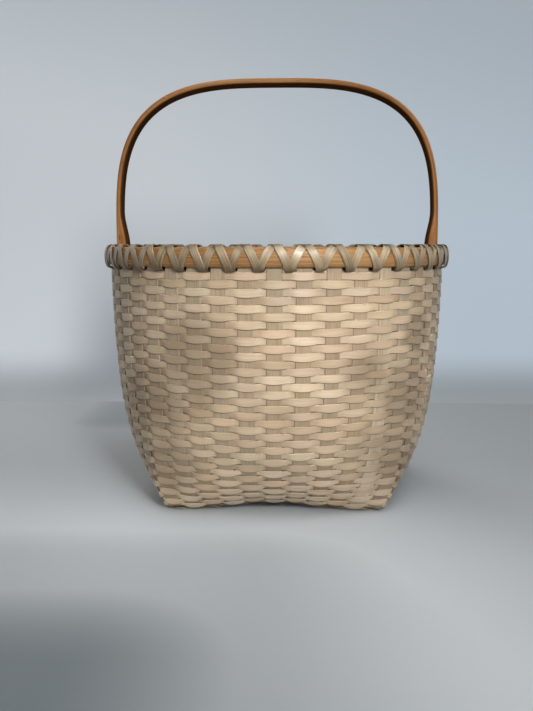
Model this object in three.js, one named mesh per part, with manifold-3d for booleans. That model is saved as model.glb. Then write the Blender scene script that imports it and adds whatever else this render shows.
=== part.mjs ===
// Round splint basket on a square base, with one bent handle fixed across it.
// Lengths in millimetres. X runs from handle end to handle end, the front is -Y, +Z is up.
// The four corners of the base rest on z = 0.
import * as THREE from 'three';
import Module from 'manifold-3d';

const manifoldModule = await Module();
manifoldModule.setup();

// Overall form
const WALL_RADIUS = 155.5;
const RIM_TOP = 231;
const HANDLE_TOP = 386;
const CLEARANCE = 0.35;
const EDGE_CLEARANCE = 0.47;

// Splints that cross the base and stand up as stakes
const STAKES_PER_SIDE = 11;
const STAKE_PITCH = WALL_RADIUS * 0.111;
const STAKE_WIDTH = STAKE_PITCH * 0.738;
const STAKE_THICKNESS = 1.0;
const STAKE_TOP = RIM_TOP - 1.2;
const FRONT_SPREAD = 0.03;
const FRONT_TWIST = 0.01;
const CORNER_TWIST = 0.032;

// Base: flat enough to stand on its corners, arched up between them
const BASE_HALF = STAKE_PITCH * STAKES_PER_SIDE / 2;
const BASE_ARCH = 6.4;
const BASE_WAVE = STAKE_THICKNESS / 2 + CLEARANCE;
const EDGE_RISE = 0.9;
const EDGE_MARGIN = 1.9;
const FOOT_DEPTH = 0.3;

// Wall flare: most of the spread comes low down
const SLOW_SHARE = 0.6;
const SLOW_RATE = 3.4;
const FAST_RATE = 12;

// Woven rows
const ROW_COUNT = 36;
const LOW_PITCH_SHARE = 0.85;
const ROW_GAP = 0.68;
const WEAVER_THICKNESS = 0.6;
const WEAVE_TOP = RIM_TOP - 19.4;
const SPLINTS_PER_WEAVER = 11;
const BUTT_GAP = 0.6;

// Rows at which the stakes bend
const BEND_ROW_COUNTS = [0, 1, 2, 3, 5, 7, 10, 14, 20, 27, ROW_COUNT];

// Stakes at which a row starts to climb at the back, in each of its two steps, and from step to step
const CLIMB_START_COUNT = 18;
const CLIMB_STAKE_COUNT = 9;
const CLIMB_APART_COUNT = 10;
const CORNER_TURN = 0.35;

// Rim hoops
const HOOP_HEIGHT = 16;
const HOOP_THICKNESS = 4.6;
const HOOP_BOTTOM = RIM_TOP - HOOP_HEIGHT;
const HOOP_EDGE = 0.45;
const HOOP_SEAT = STAKE_THICKNESS / 2 + CLEARANCE;

// Stakes from the handle at which the inner hoop starts to bow in, and over which it does so
const BOW_START_COUNT = 2.8;
const BOW_LENGTH_COUNT = 2;

// Lashing strips
const LASH_WIDTH = 6.4;
const LASH_WIDTH_AT_HANDLE = 4.8;
const LASH_THICKNESS = 0.5;
const LASH_LAYER = 1.1;

// Handle
const HANDLE_WIDTH = 17.6;
const GRIP_WIDTH = 23;
const HANDLE_THICKNESS = 5.5;
const HANDLE_SPRING = RIM_TOP + 12;
const HANDLE_SQUARENESS = 3.15;
const HANDLE_SEAT = 3.1;
const SHOULDER_THICKNESS = 10.5;
const SHOULDER_RISE = 34;
const NOTCH_THICKNESS = 2.2;
const TAIL_LENGTH = 56;
const TAIL_THICKNESS = 4;
const TAIL_TIP = 1.6;
const HANDLE_EDGE = 1.6;
const ARCH_SECTIONS = 24;

// Derived counts and angles
const STAKE_COUNT = STAKES_PER_SIDE * 4;
const HALF_SIDE = (STAKES_PER_SIDE - 1) / 2;
const STAKE_ANGLE = 2 * Math.PI / STAKE_COUNT;
const HALF_WIDTH = STAKE_WIDTH / 2;
const UP = new THREE.Vector3(0, 0, 1);

const smooth = (x) => {
  const c = Math.min(1, Math.max(0, x));
  return c * c * (3 - 2 * c);
};
const mix = (a, b, f) => a + (b - a) * f;

// Angle round the rim from the front: at front and back the stakes stand a little wider apart and twist round,
// and over the base's corners they lean round further
const spread = (angle) => {
  const front = FRONT_SPREAD * Math.sin(2 * angle) + FRONT_TWIST * Math.cos(angle) ** 2;
  return angle + front + CORNER_TWIST * Math.sin(2 * angle) ** 2;
};

// One closed body from a run of sections, each with the same number of corners in the same order
function sweep(sections, closed = false) {
  const count = sections[0].length;
  const positions = sections.flat().flatMap((p) => [p.x, p.y, p.z]);
  const index = [];
  const last = closed ? sections.length : sections.length - 1;
  for (let s = 0; s < last; s += 1) {
    const next = (s + 1) % sections.length;
    for (let c = 0; c < count; c += 1) {
      const d = (c + 1) % count;
      index.push(s * count + c, next * count + c, next * count + d);
      index.push(s * count + c, next * count + d, s * count + d);
    }
  }
  if (!closed) {
    const end = (sections.length - 1) * count;
    for (let c = 1; c < count - 1; c += 1) {
      index.push(0, c, c + 1);
      index.push(end, end + c + 1, end + c);
    }
  }
  const geometry = new THREE.BufferGeometry();
  geometry.setAttribute('position', new THREE.Float32BufferAttribute(positions, 3));
  geometry.setIndex(index);
  return geometry;
}

// Signed volume, used to face every swept body outward
function volumeOf(geometry) {
  const p = geometry.getAttribute('position');
  const t = geometry.getIndex();
  const [a, b, c] = [new THREE.Vector3(), new THREE.Vector3(), new THREE.Vector3()];
  let sum = 0;
  for (let i = 0; i < t.count; i += 3) {
    a.fromBufferAttribute(p, t.getX(i));
    b.fromBufferAttribute(p, t.getX(i + 1));
    c.fromBufferAttribute(p, t.getX(i + 2));
    sum += a.dot(b.cross(c)) / 6;
  }
  return sum;
}

function faceOutward(geometry) {
  if (volumeOf(geometry) < 0) {
    const t = geometry.getIndex();
    for (let i = 0; i < t.count; i += 3) {
      const keep = t.getX(i + 1);
      t.setX(i + 1, t.getX(i + 2));
      t.setX(i + 2, keep);
    }
  }
  return geometry;
}

function toManifold(geometry) {
  const vertProperties = new Float32Array(geometry.getAttribute('position').array);
  const triVerts = new Uint32Array(geometry.getIndex().array);
  const mesh = new manifoldModule.Mesh({ numProp: 3, vertProperties, triVerts });
  mesh.merge();
  return new manifoldModule.Manifold(mesh);
}

// The stake's underside levelled at z = 0, so the corners of the base stand flat
function levelFeet(geometry) {
  const slab = new THREE.BoxGeometry(4 * BASE_HALF, 4 * BASE_HALF, BASE_HALF);
  slab.translate(0, 0, -BASE_HALF / 2);
  slab.deleteAttribute('uv');
  slab.deleteAttribute('normal');
  const cut = toManifold(geometry).subtract(toManifold(slab)).getMesh();
  const result = new THREE.BufferGeometry();
  result.setAttribute('position', new THREE.Float32BufferAttribute(cut.vertProperties, 3));
  result.setIndex([...cut.triVerts]);
  return result;
}

// Height of the base sheet's middle surface
const CORNER_HEIGHT = BASE_WAVE + STAKE_THICKNESS / 2 - FOOT_DEPTH;
const EDGE_LINE = HALF_SIDE * STAKE_PITCH;
const archRise = (x) => BASE_ARCH * (1 + Math.cos(Math.PI * x / EDGE_LINE)) / 2;
const archSlope = (x) => -BASE_ARCH * Math.PI / EDGE_LINE * Math.sin(Math.PI * x / EDGE_LINE) / 2;
const baseHeight = (x, y) => CORNER_HEIGHT + archRise(x) + archRise(y);

// Share of the way from the base edge out to the rim circle, by share of the height
const FAST_SHARE = 1 - SLOW_SHARE;
const flare = (t) => 1 - SLOW_SHARE * Math.exp(-SLOW_RATE * t) - FAST_SHARE * Math.exp(-FAST_RATE * t);
const flareAt = (t) => flare(t) / flare(1);

// Share of the woven height below row boundary r; the rows pack a little closer low down
function rowShare(r) {
  const f = r / ROW_COUNT;
  return (LOW_PITCH_SHARE * f + (1 - LOW_PITCH_SHARE) * f * f / 2) / ((1 + LOW_PITCH_SHARE) / 2);
}

// How far stake i of a side has turned from that side's direction once it meets the rim
function rimTurn(side, i) {
  const sideAngle = side * Math.PI / 2;
  return spread(sideAngle + i * STAKE_ANGLE) - sideAngle;
}

// A point of stake n's middle line above the base edge, t from 0 at the edge to 1 at the rim top
function wallPoint(n, t) {
  const side = Math.floor(n / STAKES_PER_SIDE);
  const i = n % STAKES_PER_SIDE - HALF_SIDE;
  const foot = baseHeight(i * STAKE_PITCH, EDGE_LINE) + EDGE_RISE;
  const g = flareAt(t);
  const angle = rimTurn(side, i);
  const x = mix(i * STAKE_PITCH, WALL_RADIUS * Math.sin(angle), g);
  const y = mix(-BASE_HALF, -WALL_RADIUS * Math.cos(angle), g);
  const point = new THREE.Vector3(x, y, mix(foot, RIM_TOP, t));
  return point.applyAxisAngle(UP, side * Math.PI / 2);
}

// Each stake's wall line as straight runs, bent at row boundaries, most often low down where the wall curves
function stakeLine(n) {
  const side = Math.floor(n / STAKES_PER_SIDE);
  const i = n % STAKES_PER_SIDE - HALF_SIDE;
  const steps = 600;
  const fine = [];
  let length = 0;
  let woven = 0;
  for (let m = 0; m <= steps; m += 1) {
    const t = m / steps;
    const point = wallPoint(n, t);
    if (m > 0) {
      length += point.distanceTo(fine[m - 1].point);
    }
    fine.push({ point, length, t });
    if (point.z <= WEAVE_TOP) {
      woven = length;
    }
  }
  const nodes = BEND_ROW_COUNTS.map((r) => {
    const target = mix(EDGE_MARGIN, woven, rowShare(r));
    const found = fine.find((f) => f.length >= target);
    const before = fine[Math.max(0, fine.indexOf(found) - 1)];
    const gap = found.length - before.length;
    const f = gap > 0 ? (target - before.length) / gap : 0;
    return { r, point: before.point.clone().lerp(found.point, f), t: mix(before.t, found.t, f) };
  });
  nodes.unshift({ r: -1, point: wallPoint(n, 0), t: 0 });
  const topShare = (STAKE_TOP - nodes[0].point.z) / (RIM_TOP - nodes[0].point.z);
  nodes.push({ r: ROW_COUNT + 3, point: wallPoint(n, topShare), t: topShare });
  const turnAt = (t) => side * Math.PI / 2 + rimTurn(side, i) * flareAt(t);
  return { nodes: nodes.map((node) => ({ ...node, turn: turnAt(node.t) })) };
}

const LINES = Array.from({ length: STAKE_COUNT }, (_, n) => stakeLine(n));

// Middle point, upward direction, sideways direction and outward normal of stake n at row height r
function frameAt(n, r) {
  const nodes = LINES[((n % STAKE_COUNT) + STAKE_COUNT) % STAKE_COUNT].nodes;
  let m = 1;
  while (m < nodes.length - 2 && nodes[m + 1].r < r) {
    m += 1;
  }
  const [a, b] = [nodes[m], nodes[m + 1]];
  const lowShare = rowShare(a.r);
  const span = rowShare(b.r) - lowShare;
  const f = (rowShare(r) - lowShare) / span;
  const centre = a.point.clone().lerp(b.point, f);
  const up = b.point.clone().sub(a.point).normalize();
  const turn = mix(a.turn, b.turn, f);
  const along = new THREE.Vector3(Math.cos(turn), Math.sin(turn), 0);
  along.addScaledVector(up, -along.dot(up)).normalize();
  const out = along.clone().cross(up).normalize();
  return { centre, up, along, out };
}

// Four-cornered lens section across a stake
function lens(centre, along, out) {
  return [
    centre.clone().addScaledVector(along, HALF_WIDTH),
    centre.clone().addScaledVector(out, STAKE_THICKNESS / 2),
    centre.clone().addScaledVector(along, -HALF_WIDTH),
    centre.clone().addScaledVector(out, -STAKE_THICKNESS / 2),
  ];
}

// Wall part of a splint: sections at each bend, the section plane halving the bend
function wallSections(n, mirrored) {
  const nodes = LINES[n].nodes;
  return nodes.map((node, m) => {
    const here = node.point;
    const before = m > 0 ? here.clone().sub(nodes[m - 1].point).normalize() : null;
    const after = m < nodes.length - 1 ? nodes[m + 1].point.clone().sub(here).normalize() : null;
    const outward = new THREE.Vector3(Math.sin(node.turn), -Math.cos(node.turn), 0);
    const arriving = before ?? outward;
    const up = arriving.clone().add(after ?? arriving).normalize();
    const along = new THREE.Vector3(Math.cos(node.turn), Math.sin(node.turn), 0);
    along.addScaledVector(up, -along.dot(up)).normalize();
    const out = along.clone().cross(up).normalize();
    return lens(here, along.multiplyScalar(mirrored ? -1 : 1), out);
  });
}

// One long splint: up the wall at one end, woven across the base, up the wall at the other
function splintGeometry(direction, j) {
  const acrossX = direction === 'x';
  const n0 = (acrossX ? 3 : 0) * STAKES_PER_SIDE + (acrossX ? HALF_SIDE - j : HALF_SIDE + j);
  const n1 = (acrossX ? 1 : 2) * STAKES_PER_SIDE + (acrossX ? HALF_SIDE + j : HALF_SIDE - j);
  const run = acrossX ? new THREE.Vector3(1, 0, 0) : new THREE.Vector3(0, 1, 0);
  const tilt = archSlope(j * STAKE_PITCH) * (acrossX ? 1 : -1);
  const along = new THREE.Vector3(acrossX ? 0 : -1, acrossX ? 1 : 0, tilt).normalize();
  const down = along.clone().cross(run).normalize();
  const first = wallSections(n0, true).reverse();
  const last = wallSections(n1, false);
  const middle = [];
  const pastEdge = HALF_WIDTH + 0.5;
  for (let i = -HALF_SIDE; i <= HALF_SIDE; i += 1) {
    const under = ((i + j) % 2 === 0) === acrossX;
    const x = acrossX ? i * STAKE_PITCH : j * STAKE_PITCH;
    const y = acrossX ? j * STAKE_PITCH : i * STAKE_PITCH;
    const z = baseHeight(x, y) + (under ? -BASE_WAVE : BASE_WAVE);
    const centre = new THREE.Vector3(x, y, z);
    if (i === -HALF_SIDE) {
      middle.push(lens(centre.clone().addScaledVector(run, -pastEdge), along, down));
    }
    middle.push(lens(centre, along, down));
    if (i === HALF_SIDE) {
      middle.push(lens(centre.clone().addScaledVector(run, pastEdge), along, down));
    }
  }
  const geometry = faceOutward(sweep([...first, ...middle, ...last]));
  return acrossX && Math.abs(j) === HALF_SIDE ? levelFeet(geometry) : geometry;
}

// Rows climbed after k stakes: level in front, one row up in each of two stretches at the back
function climb(k) {
  const from = k - CLIMB_START_COUNT;
  const round = Math.floor(from / STAKE_COUNT);
  const local = from - round * STAKE_COUNT;
  const firstStep = smooth(local / CLIMB_STAKE_COUNT);
  const secondStep = smooth((local - CLIMB_APART_COUNT) / CLIMB_STAKE_COUNT);
  return 2 * round + firstStep + secondStep;
}

// Low and high edge of a weaver at stake k, in rows; its two ends taper against the base and the rim
function rowBand(k, lag) {
  const r = climb(k) - 1 - lag;
  const keep = (v) => Math.min(ROW_COUNT, Math.max(0, v));
  return { low: keep(r), high: keep(r + 1) };
}

// Offset still missing where the straight run between two crossings passes a stake's edge
function shortfall(from, to, edgeSide, needed) {
  const start = from.centre.clone().addScaledVector(from.out, from.offset);
  const end = to.centre.clone().addScaledVector(to.out, to.offset);
  const dir = end.clone().sub(start);
  const fullRun = dir.dot(from.along);
  const share = Math.min(1, edgeSide * HALF_WIDTH / fullRun);
  const passing = start.addScaledVector(dir, share).sub(from.centre).dot(from.out);
  return needed - Math.sign(from.offset) * passing;
}

// All crossings of one weaver, each pushed out or in until its runs clear the stakes' edges
function weaverCrossings(start, lag) {
  const total = STAKE_COUNT * ROW_COUNT / 2;
  const half = STAKE_THICKNESS / 2 + WEAVER_THICKNESS / 2 + CLEARANCE;
  const edge = WEAVER_THICKNESS / 2 + EDGE_CLEARANCE;
  const list = [];
  for (let step = 0; step <= total; step += 1) {
    const k = start + step;
    const { low, high } = rowBand(k, lag);
    const frame = frameAt(k, (low + high) / 2);
    const below = frameAt(k, low).centre;
    const above = frameAt(k, high).centre;
    const sign = (k + lag) % 2 === 0 ? 1 : -1;
    list.push({ ...frame, height: below.distanceTo(above) - ROW_GAP, offset: sign * half });
  }
  for (let pass = 0; pass < 12; pass += 1) {
    list.forEach((here, m) => {
      const lacks = [[list[m - 1], -1], [list[m + 1], 1]]
        .filter(([other]) => other && here.out.angleTo(other.out) <= CORNER_TURN)
        .map(([other, edgeSide]) => shortfall(here, other, edgeSide, edge));
      here.offset += Math.sign(here.offset) * Math.max(0, ...lacks);
    });
  }
  return list;
}

// Three-cornered section of a weaver: flat outside, low ridge inside
function weaverSection(centre, up, out, height) {
  const skin = centre.clone().addScaledVector(out, WEAVER_THICKNESS / 2);
  return [
    skin.clone().addScaledVector(up, height / 2),
    skin.clone().addScaledVector(up, -height / 2),
    centre.clone().addScaledVector(out, -WEAVER_THICKNESS / 2),
  ];
}

const crossingSection = (c, slide = 0) => {
  const centre = c.centre.clone().addScaledVector(c.out, c.offset).addScaledVector(c.along, slide);
  return weaverSection(centre, c.up, c.out, c.height);
};

// Extra section just past a stake's edge, where the row turns a corner of the base
function cornerSection(c, edgeSide) {
  const past = edgeSide * (HALF_WIDTH + 0.5);
  const lift = Math.sign(c.offset) * (WEAVER_THICKNESS / 2 + CLEARANCE + 0.25);
  const centre = c.centre.clone().addScaledVector(c.along, past).addScaledVector(c.out, lift);
  return weaverSection(centre, c.up, c.out, c.height);
}

function weaverGeometry(crossings, from, to) {
  const sections = [];
  for (let m = from; m <= to; m += 1) {
    const here = crossings[m];
    const slide = m === from ? BUTT_GAP / 2 : m === to ? -BUTT_GAP / 2 : 0;
    const sharpBefore = m > from && here.out.angleTo(crossings[m - 1].out) > CORNER_TURN;
    const sharpAfter = m < to && here.out.angleTo(crossings[m + 1].out) > CORNER_TURN;
    if (sharpBefore) {
      sections.push(cornerSection(here, -1));
    }
    sections.push(crossingSection(here, slide));
    if (sharpAfter) {
      sections.push(cornerSection(here, 1));
    }
  }
  return faceOutward(sweep(sections));
}

// How far the inner hoop bows in to make room for the handle, by angle round the rim
const TAIL_ROOM = HANDLE_SEAT + NOTCH_THICKNESS + CLEARANCE - HOOP_SEAT;
function handleBow(angle) {
  const toHandle = Math.acos(Math.min(1, Math.abs(Math.sin(angle))));
  return TAIL_ROOM * smooth((BOW_START_COUNT - toHandle / STAKE_ANGLE) / BOW_LENGTH_COUNT);
}

// The same bow along the hoop's straight runs, u counted in stakes from the front
function bowAlong(u) {
  const n = Math.floor(u);
  return mix(handleBow(spread(n * STAKE_ANGLE)), handleBow(spread((n + 1) * STAKE_ANGLE)), u - n);
}

// A place on the rim: angle from the front towards +X, distance from the wall's middle, height
function rimPoint(angle, offset, z) {
  const r = WALL_RADIUS + offset;
  return new THREE.Vector3(r * Math.sin(angle), -r * Math.cos(angle), z);
}

// Half-round hoop: flat against the wall, domed on the far side
function hoopGeometry(outer) {
  const side = outer ? 1 : -1;
  const profile = [
    [0, 0],
    [0, 1],
    [HOOP_EDGE, 1],
    [1, 0.72],
    [1, 0.28],
    [HOOP_EDGE, 0],
  ];
  const sections = [];
  for (let n = 0; n < STAKE_COUNT; n += 1) {
    const angle = spread(n * STAKE_ANGLE);
    const bow = outer ? 0 : handleBow(angle);
    sections.push(profile.map(([d, h]) => {
      const offset = side * (HOOP_SEAT + bow + d * HOOP_THICKNESS);
      return rimPoint(angle, offset, HOOP_BOTTOM + h * HOOP_HEIGHT);
    }));
  }
  return faceOutward(sweep(sections, true));
}

// One lashing strip: wraps the two hoops once a stake, through the gap below them
function lashingGeometry(heading) {
  const layer = heading > 0 ? 0 : 1;
  const widest = STAKE_ANGLE * (1 + 2 * FRONT_SPREAD + 2 * CORNER_TWIST);
  const atHandle = STAKE_ANGLE * (1 - 2 * FRONT_SPREAD);
  const sag = WALL_RADIUS * (1 - Math.cos(widest / 2));
  const away = LASH_THICKNESS / 2 + CLEARANCE + layer * LASH_LAYER;
  const outside = HOOP_SEAT + HOOP_THICKNESS + away + sag;
  const inside = -(HOOP_SEAT + HOOP_THICKNESS + away + sag);
  const top = RIM_TOP + away;
  const bottom = HOOP_BOTTOM - away;
  const besideReach = HANDLE_WIDTH / 2 + CLEARANCE + LASH_WIDTH_AT_HANDLE / 2;
  const beside = besideReach / ((WALL_RADIUS - TAIL_ROOM - HOOP_THICKNESS) * atHandle) - 0.5;
  const handleGap = (gap) => {
    const toHandle = Math.abs(Math.sin((gap + 0.5) * STAKE_ANGLE));
    return toHandle > Math.cos(STAKE_ANGLE * 0.75);
  };
  const sideOf = (gap) => Math.sign(Math.sin((2 * gap + 1) * STAKE_ANGLE));
  const sections = [];
  const place = (u, offset, z, out, besideHandle) => {
    const half = (besideHandle ? LASH_WIDTH_AT_HANDLE : LASH_WIDTH) / 2;
    const angle = spread(u * STAKE_ANGLE);
    const bow = offset < 0 ? bowAlong(u) : 0;
    const centre = rimPoint(angle, offset - bow, z);
    const along = new THREE.Vector3(Math.cos(angle), Math.sin(angle), 0);
    const radial = new THREE.Vector3(Math.sin(angle), -Math.cos(angle), 0);
    const normal = radial.multiplyScalar(out[0]).addScaledVector(UP, out[1]).normalize();
    const skin = centre.clone().addScaledVector(normal, LASH_THICKNESS / 2);
    sections.push([
      skin.clone().addScaledVector(along, half),
      skin.clone().addScaledVector(along, -half),
      centre.clone().addScaledVector(normal, -LASH_THICKNESS / 2),
    ]);
  };
  for (let wrap = 0; wrap < STAKE_COUNT; wrap += 1) {
    const gap = heading > 0 ? wrap : -wrap;
    const next = gap + heading;
    const shiftHere = handleGap(gap) ? beside * -sideOf(gap) : 0;
    const shiftNext = handleGap(next) ? beside * -sideOf(next) : 0;
    const start = gap + 0.5 + shiftHere;
    const end = next + 0.5 + shiftNext;
    const overHandle = handleGap(gap) && handleGap(next);
    const upOut = overHandle ? 1 : 0.36;
    const overTop = overHandle ? 1 : 0.64;
    place(mix(start, end, 0.02), outside, bottom, [1, -1], handleGap(gap));
    place(mix(start, end, upOut), outside, top, [1, 1], overHandle);
    place(mix(start, end, overTop), inside, top, [-1, 1], overHandle);
    if (wrap < STAKE_COUNT - 1) {
      place(mix(start, end, overHandle ? 1 : 0.98), inside, bottom, [-1, -1], handleGap(next));
    }
  }
  return faceOutward(sweep(sections));
}

// Bent handle: a flat bow with a shoulder over the inner hoop, a notch for it and a thin tail
function handleGeometry() {
  const side = LINES[STAKES_PER_SIDE + HALF_SIDE];
  const outerX = WALL_RADIUS - HANDLE_SEAT;
  const rise = HANDLE_TOP - HANDLE_SPRING;
  const spots = [];
  const tailAt = (z) => {
    const nodes = side.nodes;
    const m = Math.max(0, nodes.findIndex((node) => node.point.z >= z) - 1);
    const f = (z - nodes[m].point.z) / (nodes[m + 1].point.z - nodes[m].point.z);
    return mix(nodes[m].point.x, nodes[m + 1].point.x, f) - HANDLE_SEAT;
  };
  const tail = HOOP_BOTTOM - TAIL_LENGTH;
  const shoulder = RIM_TOP + CLEARANCE;
  const under = HOOP_BOTTOM - CLEARANCE;
  const post = (z, thickness, width) => spots.push({ x: Math.min(outerX, tailAt(z)), z, thickness, width });
  post(tail, TAIL_TIP, HANDLE_WIDTH * 0.55);
  post(mix(tail, under, 0.35), TAIL_THICKNESS, HANDLE_WIDTH * 0.9);
  post(under - 2 * LASH_LAYER - 1, TAIL_THICKNESS, HANDLE_WIDTH);
  post(under - 2 * LASH_LAYER - 0.6, NOTCH_THICKNESS, HANDLE_WIDTH);
  spots.push({ x: outerX, z: shoulder - 0.2, thickness: NOTCH_THICKNESS, width: HANDLE_WIDTH });
  for (const share of [0, 0.3, 0.65, 1]) {
    const z = shoulder + share * SHOULDER_RISE;
    const risen = Math.max(0, (z - HANDLE_SPRING) / rise);
    const x = outerX * (1 - risen ** HANDLE_SQUARENESS) ** (1 / HANDLE_SQUARENESS);
    spots.push({ x, z, thickness: mix(SHOULDER_THICKNESS, HANDLE_THICKNESS, smooth(share)), width: HANDLE_WIDTH });
  }
  for (let m = 1; m <= ARCH_SECTIONS / 2; m += 1) {
    const a = m / (ARCH_SECTIONS / 2) * Math.PI / 2;
    const power = 2 / HANDLE_SQUARENESS;
    const x = outerX * Math.abs(Math.cos(a)) ** power;
    const z = HANDLE_SPRING + rise * Math.sin(a) ** power;
    const width = mix(HANDLE_WIDTH, GRIP_WIDTH, smooth(a / (Math.PI / 2)));
    spots.push({ x: m === ARCH_SECTIONS / 2 ? 0 : x, z, thickness: HANDLE_THICKNESS, width });
  }
  const mirrored = spots.slice(0, -1).reverse().map((s) => ({ ...s, x: -s.x }));
  const all = [...spots, ...mirrored];
  const normalAt = (m) => {
    const a = all[Math.max(0, m - 1)];
    const b = all[Math.min(all.length - 1, m + 1)];
    return new THREE.Vector3(b.z - a.z, 0, a.x - b.x).normalize();
  };
  const sections = all.map((s, m) => {
    const straight = s.z <= shoulder;
    const out = straight ? new THREE.Vector3(Math.sign(s.x), 0, 0) : normalAt(m);
    const at = (y, depth) => new THREE.Vector3(s.x, y, s.z).addScaledVector(out, -depth);
    const edge = Math.min(HANDLE_EDGE, s.thickness * 0.45);
    return [
      at(s.width / 2 - edge, 0),
      at(s.width / 2, edge),
      at(s.width / 2, s.thickness),
      at(-s.width / 2, s.thickness),
      at(-s.width / 2, edge),
      at(-s.width / 2 + edge, 0),
    ];
  });
  return faceOutward(sweep(sections));
}

// Finishes
const FINISHES = {
  stake: { color: 0xb9a382, roughness: 0.75 },
  weaver: { color: 0xc9b394, roughness: 0.7 },
  hoop: { color: 0xb58550, roughness: 0.5 },
  lashing: { color: 0xa08a6c, roughness: 0.6 },
};

const basket = new THREE.Group();
basket.name = 'apple_basket';

function add(name, finish, geometry) {
  const material = new THREE.MeshStandardMaterial({ ...FINISHES[finish], metalness: 0 });
  material.name = finish;
  const mesh = new THREE.Mesh(geometry, material);
  mesh.name = name;
  basket.add(mesh);
}

for (let j = -HALF_SIDE; j <= HALF_SIDE; j += 1) {
  add(`stake_x_${j + HALF_SIDE + 1}`, 'stake', splintGeometry('x', j));
  add(`stake_y_${j + HALF_SIDE + 1}`, 'stake', splintGeometry('y', j));
}

[['a', 23, 0], ['b', 32, 1]].forEach(([letter, start, lag]) => {
  const crossings = weaverCrossings(start, lag);
  const run = (crossings.length - 1) / SPLINTS_PER_WEAVER;
  for (let s = 0; s < SPLINTS_PER_WEAVER; s += 1) {
    add(`weaver_${letter}_${s + 1}`, 'weaver', weaverGeometry(crossings, s * run, (s + 1) * run));
  }
});

add('rim_outer', 'hoop', hoopGeometry(true));
add('rim_inner', 'hoop', hoopGeometry(false));
add('lashing_1', 'lashing', lashingGeometry(1));
add('lashing_2', 'lashing', lashingGeometry(-1));
add('handle', 'hoop', handleGeometry());

export default basket;
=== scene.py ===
"""Round splint basket on a square base, with a double lashed rim and one bent handle.

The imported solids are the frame. Each splint, hoop, lashing strip and the handle gets a finer piece in its
place, woven round the same wall lines, with grain that runs along the wood. Lengths are in metres, X runs
from handle end to handle end, the front is -Y and +Z is up.
"""

import logging
import math
from collections.abc import Sequence
from dataclasses import dataclass
from enum import Enum

import bpy
import numpy as np
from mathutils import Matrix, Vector


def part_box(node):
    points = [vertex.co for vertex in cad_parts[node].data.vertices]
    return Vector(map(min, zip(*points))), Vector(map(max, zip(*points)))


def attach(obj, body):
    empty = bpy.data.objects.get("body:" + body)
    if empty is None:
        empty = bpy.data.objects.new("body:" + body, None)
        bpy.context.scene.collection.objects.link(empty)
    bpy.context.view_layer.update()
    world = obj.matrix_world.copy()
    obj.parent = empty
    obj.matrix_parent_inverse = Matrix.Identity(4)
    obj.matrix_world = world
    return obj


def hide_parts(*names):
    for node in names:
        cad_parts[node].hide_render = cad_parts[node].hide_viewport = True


LOG = logging.getLogger("basket")
MM = 0.001
UP = np.array([0.0, 0.0, 1.0])
GRAIN_MAP = "UVMap"
TONE = "tone"
STRIP = "strip"

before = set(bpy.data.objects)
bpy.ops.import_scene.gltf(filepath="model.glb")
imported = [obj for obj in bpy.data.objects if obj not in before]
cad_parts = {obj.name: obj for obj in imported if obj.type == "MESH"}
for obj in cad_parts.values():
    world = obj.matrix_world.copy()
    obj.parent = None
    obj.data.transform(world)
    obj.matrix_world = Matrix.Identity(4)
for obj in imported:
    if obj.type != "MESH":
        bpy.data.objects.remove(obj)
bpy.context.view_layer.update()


class Slot(Enum):
    """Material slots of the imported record."""

    STAKE = "stake"
    WEAVER = "weaver"
    HOOP = "hoop"
    LASHING = "lashing"


class Heading(Enum):
    """Way round the rim that a lashing strip travels."""

    FORWARD = 1
    BACKWARD = -1


def smooth(x: np.ndarray | float) -> np.ndarray | float:
    """Ease from 0 to 1 as x goes from 0 to 1."""
    c = np.clip(x, 0.0, 1.0)
    return c * c * (3 - 2 * c)


def mix(a: np.ndarray | float, b: np.ndarray | float, f: np.ndarray | float) -> np.ndarray | float:
    """Value that lies the share f of the way from a to b."""
    return a + (b - a) * f


def unit(v: np.ndarray) -> np.ndarray:
    """Vectors of length one, along the last axis."""
    return v / np.maximum(np.linalg.norm(v, axis=-1, keepdims=True), 1e-12)


def square_to(ahead: np.ndarray, v: np.ndarray) -> np.ndarray:
    """Directions v turned square to ahead, along the last axis."""
    return unit(v - ahead * np.sum(v * ahead, axis=-1, keepdims=True))


def run_length(points: np.ndarray) -> np.ndarray:
    """Distance along a line, at each of its points."""
    return np.concatenate([[0.0], np.cumsum(np.linalg.norm(np.diff(points, axis=0), axis=1))])


def round_rim(angle: np.ndarray, radius: np.ndarray | float, height: np.ndarray | float) -> np.ndarray:
    """Points by their angle round the rim from the front, their distance from the axis and their height."""
    height = np.broadcast_to(height, angle.shape)
    return np.stack([radius * np.sin(angle), -radius * np.cos(angle), height], axis=1)


def ripple(x: np.ndarray, seed: float) -> np.ndarray:
    """Slow wander between about -1 and 1, the same on every run.

    Args:
        x: Places along a piece.
        seed: Number that tells one piece's wander from another's.

    Returns:
        One value a place.
    """
    waves = [(1.0, 0.55, 3.1), (2.3, 0.3, 7.7), (4.9, 0.15, 11.3)]
    return sum(size * np.sin(rate * x + turn * (seed + 1)) for rate, size, turn in waves)


def strip_number(n: int, start: float) -> float:
    """Number from 0 to 1 that tells splint n's grain and tint from its neighbours'."""
    return (n * 0.618 + start) % 1.0


def colour(code: str) -> tuple[float, float, float, float]:
    """Linear colour of a six-figure hex code as it looks on screen."""
    parts = [int(code[i : i + 2], 16) / 255 for i in (0, 2, 4)]
    return (*[p / 12.92 if p <= 0.04045 else ((p + 0.055) / 1.055) ** 2.4 for p in parts], 1.0)


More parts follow.
